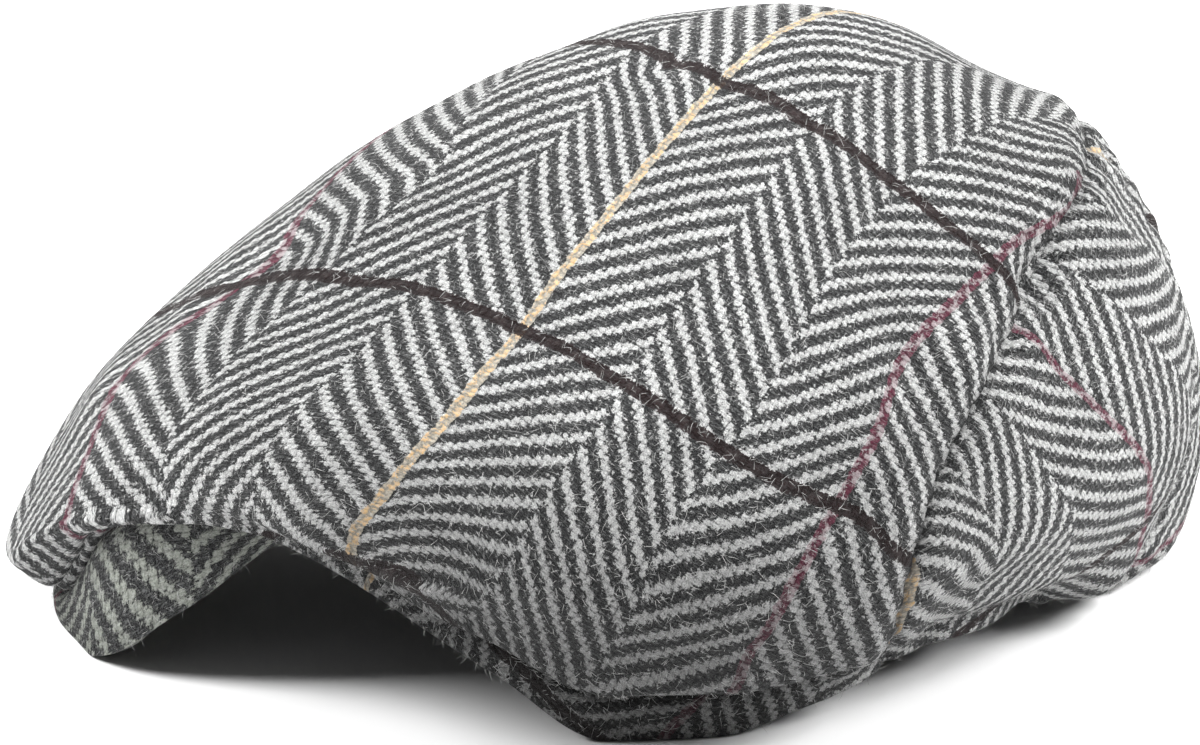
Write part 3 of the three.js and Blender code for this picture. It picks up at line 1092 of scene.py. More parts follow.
    def place(self, angle: np.ndarray, ring: np.ndarray) -> np.ndarray:
        """Points of the cloth's outer face, with the hem turned up inside past the edge ring.

        Args:
            angle: Angles in degrees.
            ring: Rings, up to one past the edge ring at the end of the turned hem.

        Returns:
            The points in millimetres, one a row.
        """
        edge, half = self.surface.edge_ring, self.surface.hem_wall / 2
        over = np.clip(ring - edge, 0, 1)
        bend = np.clip(over / self.hem_turn, 0, 1)[:, None]
        rise = np.clip((over - self.hem_turn) / (1 - self.hem_turn), 0, 1)
        level = np.where(ring > edge, edge - self.hem_rings * rise, ring)
        base = self.shape(angle, level)
        base += self.surface.normal(angle, level) * self.relief(base)[:, None]
        low = base[:, 2]
        lobe = bell(wrap_angle(angle - self.lobe_angle), 0, self.lobe_spread)
        low = low + lobe * ((low + np.hypot(low, self.lobe_ease)) / 2 - low)
        base[:, 2] = np.maximum(low, 0) + half * smooth_step(level, edge - 1.3, edge)
        tuck = smooth_step(np.abs(wrap_angle(angle)), 150, 168) * smooth_step(level, edge - 1.2, edge)
        base[:, 2] += self.back_tuck * tuck
        out = polar_points(angle, 0, 1.0, 0.0)
        turn = bend * np.pi
        base -= out * half * (1 - np.cos(turn))
        base[:, 2] -= half * np.sin(turn[:, 0])
        return base


@dataclass(frozen=True)
class FlatCloth:
    """A panel's cloth as it lies flat before it is sewn, in metres and square metres.

    The area is that of the built panel with its turned hem. The spans are estimates from its flat
    pattern: near for the main panel, and up to a sixth off for the back panels.
    """

    width: float
    length: float
    area: float


MAIN_FLAT = FlatCloth(0.326, 0.338, 0.0744)
BACK_FLATS = {
    Side.LEFT: FlatCloth(0.17, 0.1, 0.0113),
    Side.RIGHT: FlatCloth(0.18, 0.113, 0.0134),
}


@dataclass
class CrownPanel:
    """One panel of the crown, from its net of angles and rings to its finished piece."""

    name: str
    node: str
    slot: str
    cloth: CrownCloth
    pattern: ClothPattern
    columns: int
    rings: np.ndarray
    span: Callable[[np.ndarray, np.ndarray], np.ndarray]
    finish: bpy.types.Material
    inside: bpy.types.Material
    flat: FlatCloth
    mirrored: bool = False
    thickness: float = 1.2

    def build(self) -> bpy.types.Object:
        """Makes the panel from a grid that is laid on the crown.

        Returns:
            The panel's piece.
        """
        rows = len(self.rings) - 1
        bm, flat = grid_mesh(self.columns, rows)
        ring = np.interp((1 - flat[:, 1]) / 2, np.linspace(0, 1, rows + 1), self.rings)
        angle = self.span((1 + flat[:, 0]) / 2, ring)
        places = self.cloth.place(angle, ring)
        level = np.minimum(ring, self.cloth.surface.edge_ring)
        first = self.pattern.angles[0]
        read_at = (angle - first) % 360 + first if self.pattern.closed else angle
        cloth = self.pattern.read(read_at, level)
        past = (ring - level)[:, None] * self.cloth.hem_rise
        before = self.pattern.read(read_at, level - 0.1)
        cloth += unit(cloth - before) * past
        if self.mirrored:
            cloth[:, 1] *= -1
        lay_cloth(bm, places, cloth, self.cloth.shade(angle, ring, places))
        bmesh.ops.remove_doubles(bm, verts=bm.verts, dist=0.02)
        self.face_outwards(bm)
        return self.finish_piece(bm)

    def face_outwards(self, bm: bmesh.types.BMesh) -> None:
        """Turns the faces so that the crown's side of the panel looks out.

        Args:
            bm: The panel's mesh.
        """
        bm.normal_update()
        centre = Vector((0, self.cloth.surface.back_reach * 0.2, 40))
        score = 0.0
        for face in bm.faces:
            score += (face.calc_center_median() - centre).dot(face.normal) * face.calc_area()
        if score < 0:
            bmesh.ops.reverse_faces(bm, faces=bm.faces)

    def finish_piece(self, bm: bmesh.types.BMesh) -> bpy.types.Object:
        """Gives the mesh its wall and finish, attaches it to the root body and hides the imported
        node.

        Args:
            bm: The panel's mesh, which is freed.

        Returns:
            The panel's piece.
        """
        area = sum(f.calc_area() for f in bm.faces) * MM * MM
        piece = piece_from(bm, self.name)
        piece.data.materials.append(self.finish)
        piece.data.materials.append(self.inside)
        wall = piece.modifiers.new("wall", "SOLIDIFY")
        wall.thickness = self.thickness * MM
        wall.offset = -1
        wall.material_offset = 1
        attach(piece, "root")
        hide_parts(self.node)
        faces = len(piece.data.polygons)
        log.info("%s: %d faces, %.4f square metres of cloth", self.name, faces, area)
        return piece


def piece_from(bm: bmesh.types.BMesh, name: str) -> bpy.types.Object:
    """Moves a mesh made in millimetres into the shared frame, and makes it an object.

    Args:
        bm: The mesh, which is freed.
        name: The object's name.

    Returns:
        The object, smooth shaded and linked to the scene.
    """
    bmesh.ops.translate(bm, vec=(0, ORIGIN_SHIFT, 0), verts=bm.verts)
    bmesh.ops.scale(bm, vec=(MM, MM, MM), verts=bm.verts)
    for face in bm.faces:
        face.smooth = True
    mesh = bpy.data.meshes.new(name)
    bm.to_mesh(mesh)
    bm.free()
    return add_object(name, mesh)


# The node, the material slot and the number of loose fibres of each panel, in the order of making
FUZZ_COUNTS = (
    ("main_panel", "tweed", 22000),
    ("back_panel_left", "back_tweed", 5200),
    ("back_panel_right", "back_tweed", 5200),
    ("peak", "peak_tweed", 1800),
)


@dataclass(frozen=True)
class WoolFuzz:
    """Loose fibres that stand out from a piece of cloth, as thin ribbons."""

    finish: bpy.types.Material
    width: float = 0.075
    shortest: float = 0.9
    longest: float = 2.8
    rise: float = 0.55
    lowest: float = 0.1

    def build(
        self, cloth: bpy.types.Object, node: str, slot: str, count: int
    ) -> bpy.types.Object:
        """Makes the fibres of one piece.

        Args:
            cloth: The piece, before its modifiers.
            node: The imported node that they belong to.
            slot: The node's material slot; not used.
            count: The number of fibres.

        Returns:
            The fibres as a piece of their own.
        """
        chance = np.random.default_rng(SEED + count)
        mesh = cloth.data
        size = len(mesh.polygons)
        areas, normals, centres = np.zeros(size), np.zeros(size * 3), np.zeros(size * 3)
        mesh.polygons.foreach_get("area", areas)
        mesh.polygons.foreach_get("normal", normals)
        mesh.polygons.foreach_get("center", centres)
        pick = chance.choice(size, count, p=areas / areas.sum())
        normal, centre = normals.reshape(-1, 3)[pick], centres.reshape(-1, 3)[pick] / MM
        lie = unit(np.cross(normal, chance.normal(size=(count, 3))))
        length = chance.uniform(self.shortest, self.longest, (count, 1))
        lift = self.rise * chance.uniform(0.15, 1, (count, 1)) ** 1.5
        bend = np.cross(normal, lie) * chance.normal(0, 0.25, (count, 1)) * length
        root = centre + chance.normal(0, 0.35, (count, 3)) * (1 - np.abs(normal))
        half = unit(np.cross(lie, normal) + 0.6 * normal) * self.width / 2
        bm, flat = grid_mesh(2, 2 * count - 1)
        step = np.rint(flat[:, 0] + 1).astype(int)
        row = np.rint((flat[:, 1] + 1) / 2 * (2 * count - 1)).astype(int)
        which, side = row // 2, (row % 2) * 2 - 1
        share = np.array([0, 0.55, 1])[step][:, None]
        thin = np.array([1, 0.8, 0.15])[step][:, None]
        spots = root[which] + lie[which] * length[which] * share
        spots += normal[which] * lift[which] * length[which] * np.sqrt(share)
        spots += bend[which] * share**2 + half[which] * side[:, None] * thin
        spots[:, 2] = np.maximum(spots[:, 2], self.lowest)
        for vert, spot in zip(bm.verts, spots):
            vert.co = spot
        rows = {vert.index: int(r) for vert, r in zip(bm.verts, which)}
        between = [f for f in bm.faces if len({rows[v.index] for v in f.verts}) > 1]
        bmesh.ops.delete(bm, geom=between, context="FACES_ONLY")
        bmesh.ops.delete(bm, geom=[e for e in bm.edges if not e.link_faces], context="EDGES")
        bmesh.ops.translate(bm, vec=(0, -ORIGIN_SHIFT, 0), verts=bm.verts)
        piece = piece_from(bm, f"{node}_fuzz")
        piece.data.materials.append(self.finish)
        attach(piece, "root")
        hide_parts(node)
        log.info("%s: %d fibres", piece.name, count)
        return piece


@dataclass
class Peak:
    """The short stiff peak, covered in its own piece of cloth."""

    surface: CrownSurface
    finish: bpy.types.Material
    gap: float = 1.1
    flare: float = 4.0
    thickness: float = 4.0
    lip_cover: float = 2.5
    half_angle: float = 40.0
    fullness: float = 3.2
    reversal_angle: float = 17.0
    cover_length: float = 62.0
    cover_column: int = 22
    # Painted shade over the whole peak, which lies under the crown's lip
    painted_shade_level: float = 0.9
    columns: int = 160
    rows: int = 40
    # Angle, inner, inner rise, shoulder, shoulder rise, flare, edge rise
    table: tuple = (
        (0, 1, 1.21, 0.64, 0.97, 0.15, 0.03),
        (7, 1.003, 1.21, 0.67, 1, 0.25, 0),
        (15, 1.013, 1.2, 0.7, 1.06, 0.3, 0),
        (21, 1.02, 1.18, 0.7, 1.09, 0, 0.1),
        (29, 1.025, 1.14, 0.7, 1.12, -0.3, 0.46),
        (40, 1.004, 1.1, 0.57, 1.08, 0, 0.93),
    )

    def sections(self, angle: np.ndarray) -> np.ndarray:
        """The peak's sections.

        Args:
            angle: Angles in degrees.

        Returns:
            Reach and height of the inner edge, shoulder, face and outer edge at each angle.
        """
        bare = np.abs(angle)
        table = np.array(self.table, float)
        inner, inner_rise, shoulder, shoulder_rise, flare, edge_rise = (
            read_column(table, k, bare) for k in range(1, 7)
        )
        lip, lip_height, _ = self.surface.edge_at(angle)
        rise = self.surface.temple_rise
        start = inner * ellipse_reach(
            self.surface.opening_front, self.surface.opening_half_width, bare
        )
        face = lip - self.surface.hem_wall - self.gap
        parts = (
            (start, inner_rise * rise),
            (start + shoulder * (face - start), shoulder_rise * rise),
            (face, lip_height + self.lip_cover),
            (face + flare * self.flare, edge_rise * rise),
        )
        return np.stack([np.stack(part, axis=1) for part in parts])

    def build(self) -> bpy.types.Object:
        """Makes the peak from a grid laid along its sections, with a wall inwards.

        Returns:
            The peak's piece.
        """
        bm, flat = grid_mesh(self.columns, self.rows)
        angle = flat[:, 0] * self.half_angle
        share = (1 - flat[:, 1]) / 2
        section = self.sections(angle)
        whole = np.concatenate(
            [[2 * section[0] - section[1]], section, [2 * section[-1] - section[-2]]]
        )
        run = share * (len(section) - 1)
        i = np.clip(np.floor(run).astype(int), 0, len(section) - 2)
        pick = np.arange(len(i))
        spot = through_points(*(whole[i + k, pick] for k in range(4)), (run - i)[:, None])
        lip_height = self.surface.edge_at(angle)[1]
        spot[:, 0] += self.fullness * (1 - smooth_step(spot[:, 1] - lip_height, -3, 2.5)) * (
            1 - smooth_step(np.abs(angle), 24, 39)
        )
        spot[:, 1] = np.maximum(spot[:, 1], 0.4)
        middle = self.surface.opening_front + 24
        across = (angle - self.reversal_angle) * DEGREE * middle
        first = self.cover_column * COLUMN_YARNS * YARN_PITCH
        cloth = np.stack([across + first, self.cover_length * share + PANE / 2], axis=1)
        points = polar_points(angle, 0, spot[:, 0], spot[:, 1])
        lay_cloth(bm, points, cloth, np.full(len(points), self.painted_shade_level))
        bm.normal_update()
        if sum(f.normal.y * f.calc_area() for f in bm.faces) > 0:
            bmesh.ops.reverse_faces(bm, faces=bm.faces)
        piece = piece_from(bm, "peak_cover")
        piece.data.materials.append(self.finish)
        wall = piece.modifiers.new("board", "SOLIDIFY")
        wall.thickness = (self.thickness - 0.4) * MM
        wall.offset = -1
        bevel = piece.modifiers.new("edge", "BEVEL")
        bevel.width = 1.8 * MM
        bevel.segments = 4
        bevel.limit_method = "ANGLE"
        bevel.angle_limit = 50 * DEGREE
        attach(piece, "root")
        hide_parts("peak")
        log.info("peak_cover: %d faces", len(piece.data.polygons))
        return piece


@dataclass
class NodeSheet:
    """Writes nodes into one node tree, with a method for each kind that the finishes use."""

    tree: bpy.types.NodeTree

    def node(self, kind: str, **settings) -> bpy.types.Node:
        """Adds a node.

        Args:
            kind: Its type.
            settings: Its properties by name.

        Returns:
            The node.
        """
        made = self.tree.nodes.new(kind)
        for name, value in settings.items():
            setattr(made, name, value)
        return made

    def link(self, source: object, socket: bpy.types.NodeSocket) -> None:
        """Links a socket, or sets a plain value.

        Args:
            source: The socket or value that is given.
            socket: The input that takes it.
        """
        if isinstance(source, bpy.types.NodeSocket):
            self.tree.links.new(source, socket)
        else:
            socket.default_value = source

    def math(self, operation: str, *values: object, clamp: bool = False) -> bpy.types.NodeSocket:
        """One step of arithmetic.

        Args:
            operation: The step's name in Blender.
            values: Its sockets or numbers.
            clamp: Whether the result is held between 0 and 1.

        Returns:
            The result.
        """
        made = self.node("ShaderNodeMath", operation=operation, use_clamp=clamp)
        for value, socket in zip(values, made.inputs):
            self.link(value, socket)
        return made.outputs[0]

    def vector(self, operation: str, *values: object) -> bpy.types.NodeSocket:
        """One step of vector arithmetic.

        Args:
            operation: The step's name in Blender.
            values: Its sockets or vectors.

        Returns:
            The result.
        """
        made = self.node("ShaderNodeVectorMath", operation=operation)
        for value, socket in zip(values, made.inputs):
            self.link(value, socket)
        return made.outputs[0]

    def mix(self, share: object, low: object, high: object) -> bpy.types.NodeSocket:
        """A mix of two colours.

        Args:
            share: How much of the second there is.
            low: The first colour.
            high: The second colour.

        Returns:
            The mixed colour.
        """
        made = self.node("ShaderNodeMix", data_type="RGBA")
        self.link(share, made.inputs[0])
        self.link(low, made.inputs[6])
        self.link(high, made.inputs[7])
        return made.outputs[2]

    def noise(
        self,
        place: bpy.types.NodeSocket,
        scale: float,
        detail: float = 2,
        rough: float = 0.5,
        color: bool = False,
    ) -> bpy.types.NodeSocket:
        """Noise at a place.

        Args:
            place: The place that is read.
            scale: How many of its grains there are to a unit.
            detail: How many finer layers it has.
            rough: How strong the finer layers are.
            color: Whether three values are given, and not one.

        Returns:
            The noise, between 0 and 1.
        """
        made = self.node("ShaderNodeTexNoise")
        self.link(place, made.inputs["Vector"])
        made.inputs["Scale"].default_value = scale
        made.inputs["Detail"].default_value = detail
        made.inputs["Roughness"].default_value = rough
        return made.outputs["Color" if color else "Fac"]

    def spread(
        self,
        value: bpy.types.NodeSocket,
        low: float,
        high: float,
        to_low: float = 0.0,
        to_high: float = 1.0,
    ) -> bpy.types.NodeSocket:
        """A value carried from one range to another, held within the second.

        Args:
            value: The value.
            low: The start of the first range.
            high: Its end.
            to_low: The start of the second range.
            to_high: Its end.

        Returns:
            The value in the second range.
        """
        made = self.node("ShaderNodeMapRange")
        for source, socket in zip((value, low, high, to_low, to_high), made.inputs):
            self.link(source, socket)
        return made.outputs[0]


@dataclass(frozen=True)
class HerringboneWeave:
    """The weave of the tweed as a node group: a broken twill that turns round at each column.

    Its input is the place in the cloth, in millimetres. Its outputs are which yarn shows, how high
    it stands, and where the coloured lines of the windowpane lie.
    """

    pitch: float = YARN_PITCH
    wander: float = 0.45
    wander_scale: float = 0.42
    light_width: float = 0.71
    meeting: float = 0.7

    def build(self) -> bpy.types.NodeTree:
        """Makes the group.

        Returns:
            The node group.
        """
        tree = bpy.data.node_groups.new("herringbone_weave", "ShaderNodeTree")
        tree.interface.new_socket("Place", in_out="INPUT", socket_type="NodeSocketVector")
        for name in ("Warp Up", "Height", "Cream", "Burgundy", "Brown"):
            tree.interface.new_socket(name, in_out="OUTPUT", socket_type="NodeSocketFloat")
        sheet = NodeSheet(tree)
        given = sheet.node("NodeGroupInput").outputs["Place"]
        result = sheet.node("NodeGroupOutput")
        drift = sheet.noise(given, self.wander_scale, 3, 0.6, True)
        wander = sheet.vector("SUBTRACT", drift, (0.5,) * 3)
        moved = sheet.vector("MULTIPLY", wander, (self.wander * 4, self.wander * 4, 0))
        place = sheet.vector("ADD", given, moved)
        split = sheet.node("ShaderNodeSeparateXYZ")
        sheet.link(sheet.vector("MULTIPLY", place, (1 / self.pitch,) * 3), split.inputs[0])
        across, along = split.outputs[0], split.outputs[1]
        warp, weft = sheet.math("FLOOR", across), sheet.math("FLOOR", along)
        part_across, part_along = sheet.math("FRACT", across), sheet.math("FRACT", along)
        jitter = sheet.spread(sheet.noise(given, 0.8, 2, 0.6), 0.3, 0.7, -self.meeting, self.meeting)
        met = sheet.math("ADD", across, jitter)
        column = sheet.math("FLOOR", sheet.math("DIVIDE", met, float(COLUMN_YARNS)))
        odd = sheet.math("FLOORED_MODULO", column, 2.0)
        hand = sheet.math("SUBTRACT", sheet.math("MULTIPLY", odd, 2.0), 1.0)
        step = sheet.math("ADD", warp, sheet.math("MULTIPLY", hand, weft))
        phase = sheet.math("FLOORED_MODULO", step, 4.0)
        over = sheet.math("LESS_THAN", phase, 1.5)
        # How far the place is from the middle of its light line, from 0 to 2 yarns
        run = sheet.math("ADD", across, sheet.math("MULTIPLY", hand, along))
        middle = sheet.math("ADD", sheet.math("MULTIPLY", hand, 0.5), 1.0)
        ahead = sheet.math("ADD", sheet.math("SUBTRACT", run, middle), 2.0)
        turned = sheet.math("SUBTRACT", sheet.math("FLOORED_MODULO", ahead, 4.0), 2.0)
        far = sheet.math("ABSOLUTE", turned)
        rough = sheet.spread(sheet.noise(given, 1.3, 4, 0.75), 0.36, 0.64, -1.15, 1.15)
        slow = sheet.spread(sheet.noise(given, 0.3, 2, 0.6), 0.3, 0.7, -0.4, 0.4)
        ragged = sheet.math("ADD", rough, slow)
        line = sheet.math("MULTIPLY", sheet.math("SUBTRACT", self.light_width, far), 1.3)
        stair = sheet.math("MULTIPLY", sheet.math("SUBTRACT", over, 0.5), 0.55)
        # Small rounded crimps of the yarns along both lines
        crimp = sheet.math("MULTIPLY",
                           sheet.math("SINE", sheet.math("MULTIPLY", part_across, math.pi)),
                           sheet.math("SINE", sheet.math("MULTIPLY", part_along, math.pi)))
        pinch = sheet.math("MULTIPLY", sheet.math("SUBTRACT", crimp, 0.4), 1.1)
        summed = sheet.math("ADD", sheet.math("ADD", line, stair), sheet.math("ADD", ragged, pinch))
        up = sheet.math("ADD", summed, 0.5, clamp=True)
        fuzz = sheet.spread(sheet.noise(given, 1.7, 4, 0.75), 0.32, 0.68)
        height = sheet.math("ADD", sheet.math("MULTIPLY", up, 0.7), sheet.math("MULTIPLY", crimp, 0.8))
        height = sheet.math("ADD", height, sheet.math("MULTIPLY", fuzz, 0.8))
        two_panes = float(2 * PANE_YARNS)
        wide = sheet.math("ADD", across, 0.6)
        cream = sheet.math("LESS_THAN", sheet.math("FLOORED_MODULO", wide, two_panes), 1.4)
        shifted = sheet.math("ADD", wide, float(PANE_YARNS))
        burgundy = sheet.math("LESS_THAN", sheet.math("FLOORED_MODULO", shifted, two_panes), 1.4)
        near = sheet.math("ADD", sheet.math("ADD", along, 0.45), sheet.math("MULTIPLY", rough, 0.22))
        brown = sheet.math("LESS_THAN", sheet.math("FLOORED_MODULO", near, float(PANE_YARNS)), 1.9)
        outputs = (up, height, cream, burgundy, brown)
        for source, socket in zip(outputs, result.inputs):
            sheet.link(source, socket)
        return tree


@dataclass(frozen=True)
class TweedFinish:
    """The wool tweed: its yarns' colours, how much they vary, and how deep the weave stands."""

    name: str
    weave: bpy.types.NodeTree
    light: tuple[float, float, float] = (0.87, 0.87, 0.86)
    light_low: tuple[float, float, float] = (0.2, 0.205, 0.205)
    dark: tuple[float, float, float] = (0.003, 0.003, 0.004)
    dark_high: tuple[float, float, float] = (0.15, 0.153, 0.156)
    hair: tuple[float, float, float] = (0.5, 0.51, 0.5)
    cream: tuple[float, float, float] = (0.84, 0.56, 0.27)
    burgundy: tuple[float, float, float] = (0.20, 0.026, 0.065)
    brown: tuple[float, float, float] = (0.018, 0.006, 0.006)
    pale: tuple[float, float, float] = (0.88, 0.80, 0.66)
    hair_share: float = 0.28
    sheen: float = 0.08
    depth: float = 0.8

    def streaks(
        self, sheet: NodeSheet, place: bpy.types.NodeSocket, turn: float
    ) -> bpy.types.NodeSocket:
        """Thin stray fibres that lie one way over the cloth.

        Args:
            sheet: The material's nodes.
            place: The place in the cloth.
            turn: Which way they lie, in radians.

        Returns:
            A mask of the fibres.
        """
        mapping = sheet.node("ShaderNodeMapping")
        sheet.link(place, mapping.inputs["Vector"])
        mapping.inputs["Rotation"].default_value = (0, 0, turn)
        mapping.inputs["Scale"].default_value = (0.45, 2.6, 1)
        wisp = sheet.noise(mapping.outputs[0], 1.0, 1.5, 0.5)
        return sheet.spread(wisp, 0.6, 0.67)

    def build(self) -> bpy.types.Material:
        """Makes the material.

        Returns:
            The material.
        """
        material = bpy.data.materials.new(self.name)
        material.use_nodes = True
        material.node_tree.nodes.clear()
        sheet = NodeSheet(material.node_tree)
        place = sheet.node("ShaderNodeAttribute", attribute_name="cloth").outputs["Vector"]
        # The painted shade noted on the cloth: in the seams, dents and pocket, low on the side, on the
        # turned hem and over the peak
        painted_shade = sheet.node("ShaderNodeAttribute", attribute_name="shade").outputs["Fac"]
        weave = sheet.node("ShaderNodeGroup", node_tree=self.weave)
        sheet.link(place, weave.inputs[0])
        out = weave.outputs
        flecks = sheet.spread(sheet.noise(place, 2.6, 4, 0.85), 0.36, 0.6)
        clouds = sheet.noise(place, 0.05, 3, 0.6)
        light = sheet.mix(flecks, (*self.light_low, 1), (*self.light, 1))
        specks = sheet.spread(sheet.noise(place, 2.9, 3, 0.8), 0.46, 0.63)
        dark = sheet.mix(specks, (*self.dark, 1), (*self.dark_high, 1))
        base = sheet.mix(out["Warp Up"], dark, light)
        lie = sheet.spread(sheet.noise(place, 1.3, 3, 0.7), 0.3, 0.6, 0.35, 1.0)
        warp_line = sheet.math("MULTIPLY", lie, sheet.spread(out["Warp Up"], 0.0, 1.0, 1.0, 0.55))
        dashes = sheet.mix(out["Warp Up"], (*self.pale, 1), (*self.cream, 1))
        with_cream = sheet.mix(sheet.math("MULTIPLY", out["Cream"], lie), base, dashes)
        with_wine = sheet.mix(
            sheet.math("MULTIPLY", out["Burgundy"], warp_line), with_cream, (*self.burgundy, 1)
        )
        weft_line = sheet.math("MULTIPLY", out["Brown"], sheet.spread(lie, 0.35, 0.7, 0.8, 0.98))
        with_brown = sheet.mix(weft_line, with_wine, (*self.brown, 1))
        wisps = self.streaks(sheet, place, 0.3)
        for turn in (1.35, 2.4):
            wisps = sheet.math("MAXIMUM", wisps, self.streaks(sheet, place, turn))
        bare = sheet.math("SUBTRACT", 1.0, sheet.math("MULTIPLY", out["Brown"], 0.85))
        covered = sheet.math("MULTIPLY", sheet.math("MULTIPLY", wisps, bare), self.hair_share)
        haired = sheet.mix(covered, with_brown, (*self.hair, 1))
        shade = sheet.spread(clouds, 0.3, 0.7, 0.88, 1.08)
        # Painted shade in the weave's hollows and painted light on its raised yarns
        relief_shading = sheet.spread(out["Height"], 0.3, 1.7, 0.5, 1.2)
        # The wool's own slow clouds of tone, times the painted shade of the weave and of the cloth
        tone_and_painted_shade = sheet.math("MULTIPLY", sheet.math("MULTIPLY", shade, relief_shading), painted_shade)
        toned = sheet.vector("SCALE", haired)
        sheet.link(tone_and_painted_shade, toned.node.inputs["Scale"])
        shader = sheet.node("ShaderNodeBsdfPrincipled")
        sheet.link(toned, shader.inputs["Base Color"])
        shader.inputs["Roughness"].default_value = 0.95
        shader.inputs["Specular IOR Level"].default_value = 0.15
        shader.inputs["Sheen Weight"].default_value = self.sheen
        shader.inputs["Sheen Roughness"].default_value = 0.3
        bump = sheet.node("ShaderNodeBump")
        bump.inputs["Strength"].default_value = 1.0
        bump.inputs["Distance"].default_value = self.depth * MM
        sheet.link(out["Height"], bump.inputs["Height"])
        sheet.link(bump.outputs[0], shader.inputs["Normal"])
        result = sheet.node("ShaderNodeOutputMaterial")
        sheet.link(shader.outputs[0], result.inputs[0])
        return material


@dataclass(frozen=True)
class PlainFinish:
    """A plain matt finish with a little unevenness."""

    name: str
    color: tuple[float, float, float]
    roughness: float = 0.9
    evenness: float = 0.8

    def build(self) -> bpy.types.Material:
        """Makes the material.

        Returns:
            The material.
        """
        material = bpy.data.materials.new(self.name)
        material.use_nodes = True
        material.node_tree.nodes.clear()
        sheet = NodeSheet(material.node_tree)
        place = sheet.node("ShaderNodeTexCoord").outputs["Object"]
        uneven = sheet.noise(place, 260, 3, 0.6)
        darker = tuple(self.evenness * part for part in self.color)
        shader = sheet.node("ShaderNodeBsdfPrincipled")
        sheet.link(sheet.mix(uneven, (*darker, 1), (*self.color, 1)), shader.inputs["Base Color"])
        shader.inputs["Roughness"].default_value = self.roughness
        result = sheet.node("ShaderNodeOutputMaterial")
        sheet.link(shader.outputs[0], result.inputs[0])
        return material


@dataclass(frozen=True)
class Studio:
    """A plain pale floor and soft light from above, in front and behind."""

    floor_color: tuple[float, float, float] = (0.86, 0.86, 0.86)
    world_strength: float = 0.16
    # Name, place, side and power of each light
    lights: tuple = (
        ("key", (-0.15, 0.15, 1.3), 0.6, 18),
        ("back", (0.25, 1.2, 0.95), 0.6, 40),
        ("front", (0.1, -1.15, 1.0), 0.6, 38),
    )

    def build(self) -> None:
        """Makes the floor, the lights and the world."""
        bm = bmesh.new()
        bmesh.ops.create_grid(bm, x_segments=1, y_segments=1, size=6)
        mesh = bpy.data.meshes.new("floor")
        bm.to_mesh(mesh)
        bm.free()
        floor = add_object("floor", mesh)
        floor.data.materials.append(PlainFinish("floor_paint", self.floor_color, 0.9, 0.985).build())
        for light in self.lights:
            self.light(*light)
        world = bpy.data.worlds.new("studio")
        world.use_nodes = True
        world.node_tree.nodes["Background"].inputs[0].default_value = (1, 1, 1, 1)
        world.node_tree.nodes["Background"].inputs[1].default_value = self.world_strength
        bpy.context.scene.world = world
        bpy.context.scene.view_settings.view_transform = "Standard"

    @staticmethod
    def light(name: str, place: tuple, size: float, power: float) -> None:
        """Makes a square light that looks at the cap.

        Args:
            name: The light's name.
            place: Where it stands, in metres.
            size: Its side, in metres.
            power: Its power, in watts.
        """
        data = bpy.data.lights.new(name, "AREA")
        data.size = size
        data.energy = power
        lamp = add_object(name, data)
        lamp.location = place
        look = Vector((0, 0, 0.05)) - Vector(place)
        lamp.rotation_euler = look.to_track_quat("-Z", "Y").to_euler()


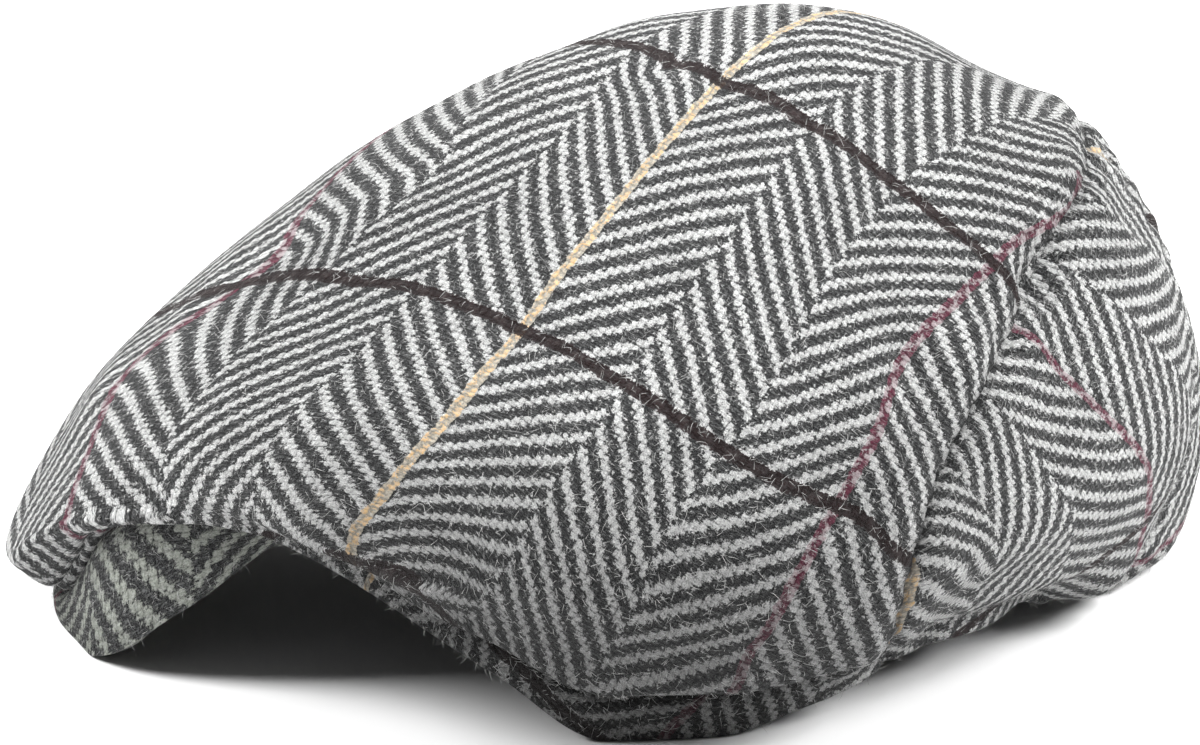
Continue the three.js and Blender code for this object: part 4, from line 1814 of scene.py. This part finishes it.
@dataclass
class Crown:
    """The crown's three panels, sewn along the arch seam and the back seam."""

    surface: CrownSurface
    seams: SeamLayout
    finder: PhotoFinder
    tweed: bpy.types.Material
    inside: bpy.types.Material
    main_columns: int = 306
    back_columns: int = 80

    def rows(self) -> tuple[np.ndarray, np.ndarray]:
        """The rings of the panels' nets.

        Returns:
            Those above the arch seam, and those below it.
        """
        top = self.seams.top_ring()
        upper = np.linspace(0.03, top, 46)
        places = self.seams.half_arch()
        line = self.surface.point(places[:, 0], places[:, 1])
        run = np.concatenate([[0], np.cumsum(np.linalg.norm(np.diff(line, axis=0), axis=1))])
        even = np.linspace(0, run[-1], 96)
        lower = np.maximum.accumulate(np.interp(even, run, places[:, 1]))
        hem = np.linspace(self.surface.edge_ring, self.surface.edge_ring + 1, 15)[1:]
        return upper, np.concatenate([lower, hem])

    def held(self, lines: tuple, side: Side) -> list[tuple[Thread, float, np.ndarray]]:
        """The windowpane's lines with the places that they pass on one side.

        Args:
            lines: The lines, with their pixels.
            side: The side of the crown that they are laid on.

        Returns:
            The thread, its place in the cloth and its places on the crown, for each line.
        """
        found = []
        for line in lines:
            places = self.finder.find(line.pixels)
            places[:, 0] *= side.value
            found.append((line.thread, line.place, places))
        return found

    def build(self) -> list[bpy.types.Object]:
        """Makes the three panels.

        Returns:
            Their pieces, the main panel first.
        """
        half = math.sqrt(0.5)
        seams, surface = self.seams, self.surface
        edge = surface.edge_ring
        folds = []
        for fold in PHOTO_FOLDS:
            places = self.finder.find(fold.pixels)
            folds.append((surface.point(places[:, 0], places[:, 1]), fold.width, fold.height))
        cloth = CrownCloth(surface, seams, folds)
        upper, lower = self.rows()

        def in_main(angle: float, ring: float) -> bool:
            """Whether a place is on the main panel."""
            return abs(wrap_angle(angle)) <= seams.arch_angle(np.array(ring)) + 3

        main_pattern = ClothPattern(
            surface, np.arange(0, 360, 5.0), np.linspace(0, edge, 25), True,
            ((half, half), (-half, half)), self.held(MAIN_LINES, Side.LEFT), in_main,
        )  # fmt: skip
        made = [
            CrownPanel(
                "main_panel_cloth", "main_panel", "tweed", cloth, main_pattern, self.main_columns,
                np.concatenate([upper, lower[1:]]),
                lambda share, ring: (2 * share - 1) * seams.arch_angle(np.minimum(ring, edge)),
                self.tweed, self.inside, MAIN_FLAT,
            ).build()
        ]  # fmt: skip
        back_lines = self.held(BACK_LINES, Side.LEFT)
        for side in Side:
            left = side is Side.LEFT
            sign = side.value
            angles = np.arange(118, 184, 4.0) if left else np.arange(-182, -116, 4.0)
            held = back_lines if left else [(t, at, p * (-1, 1)) for t, at, p in back_lines[1:2]]
            grain = ((half * sign, half), (-half, half * sign))
            pattern = ClothPattern(
                surface, angles, np.linspace(2.6, edge, 18), False, grain, held, hold=1.5
            )

            def span(share: np.ndarray, ring: np.ndarray, left: bool = left) -> np.ndarray:
                """The angle at a share of the way across a back panel."""
                arch = seams.arch_angle(np.minimum(ring, edge))
                return arch + share * (180 - arch) if left else -180 + share * (180 - arch)

            word = side.name.lower()
            made.append(
                CrownPanel(
                    f"back_panel_{word}_cloth", f"back_panel_{word}", "back_tweed", cloth, pattern,
                    self.back_columns, lower, span, self.tweed, self.inside, BACK_FLATS[side],
                    mirrored=left,
                ).build()
            )  # fmt: skip
        return made


def main() -> None:
    """Builds the cap, its stage and the camera."""
    logging.basicConfig(level=logging.INFO, format="%(message)s")
    camera = PhotoCamera()
    camera.build()
    Studio().build()
    surface, seams = CrownSurface(), SeamLayout()
    weave = HerringboneWeave().build()
    tweed = TweedFinish("wool_tweed", weave).build()
    # A copy of the tweed with darker, olive light yarns: painted shade under the crown's lip
    peak_tweed = TweedFinish(
        "peak_wool_tweed_shaded", weave, light=(0.42, 0.44, 0.39), light_low=(0.17, 0.18, 0.16)
    ).build()
    inside = PlainFinish("cloth_inside", (0.05, 0.05, 0.055)).build()
    panels = Crown(surface, seams, PhotoFinder(surface, camera), tweed, inside).build()
    panels.append(Peak(surface, peak_tweed).build())
    fuzz = WoolFuzz(PlainFinish("wool_fibre", (0.5, 0.5, 0.49), 1.0).build())
    for panel, (node, slot, count) in zip(panels, FUZZ_COUNTS):
        fuzz.build(panel, node, slot, count)


if __name__ == "__main__":
    main()
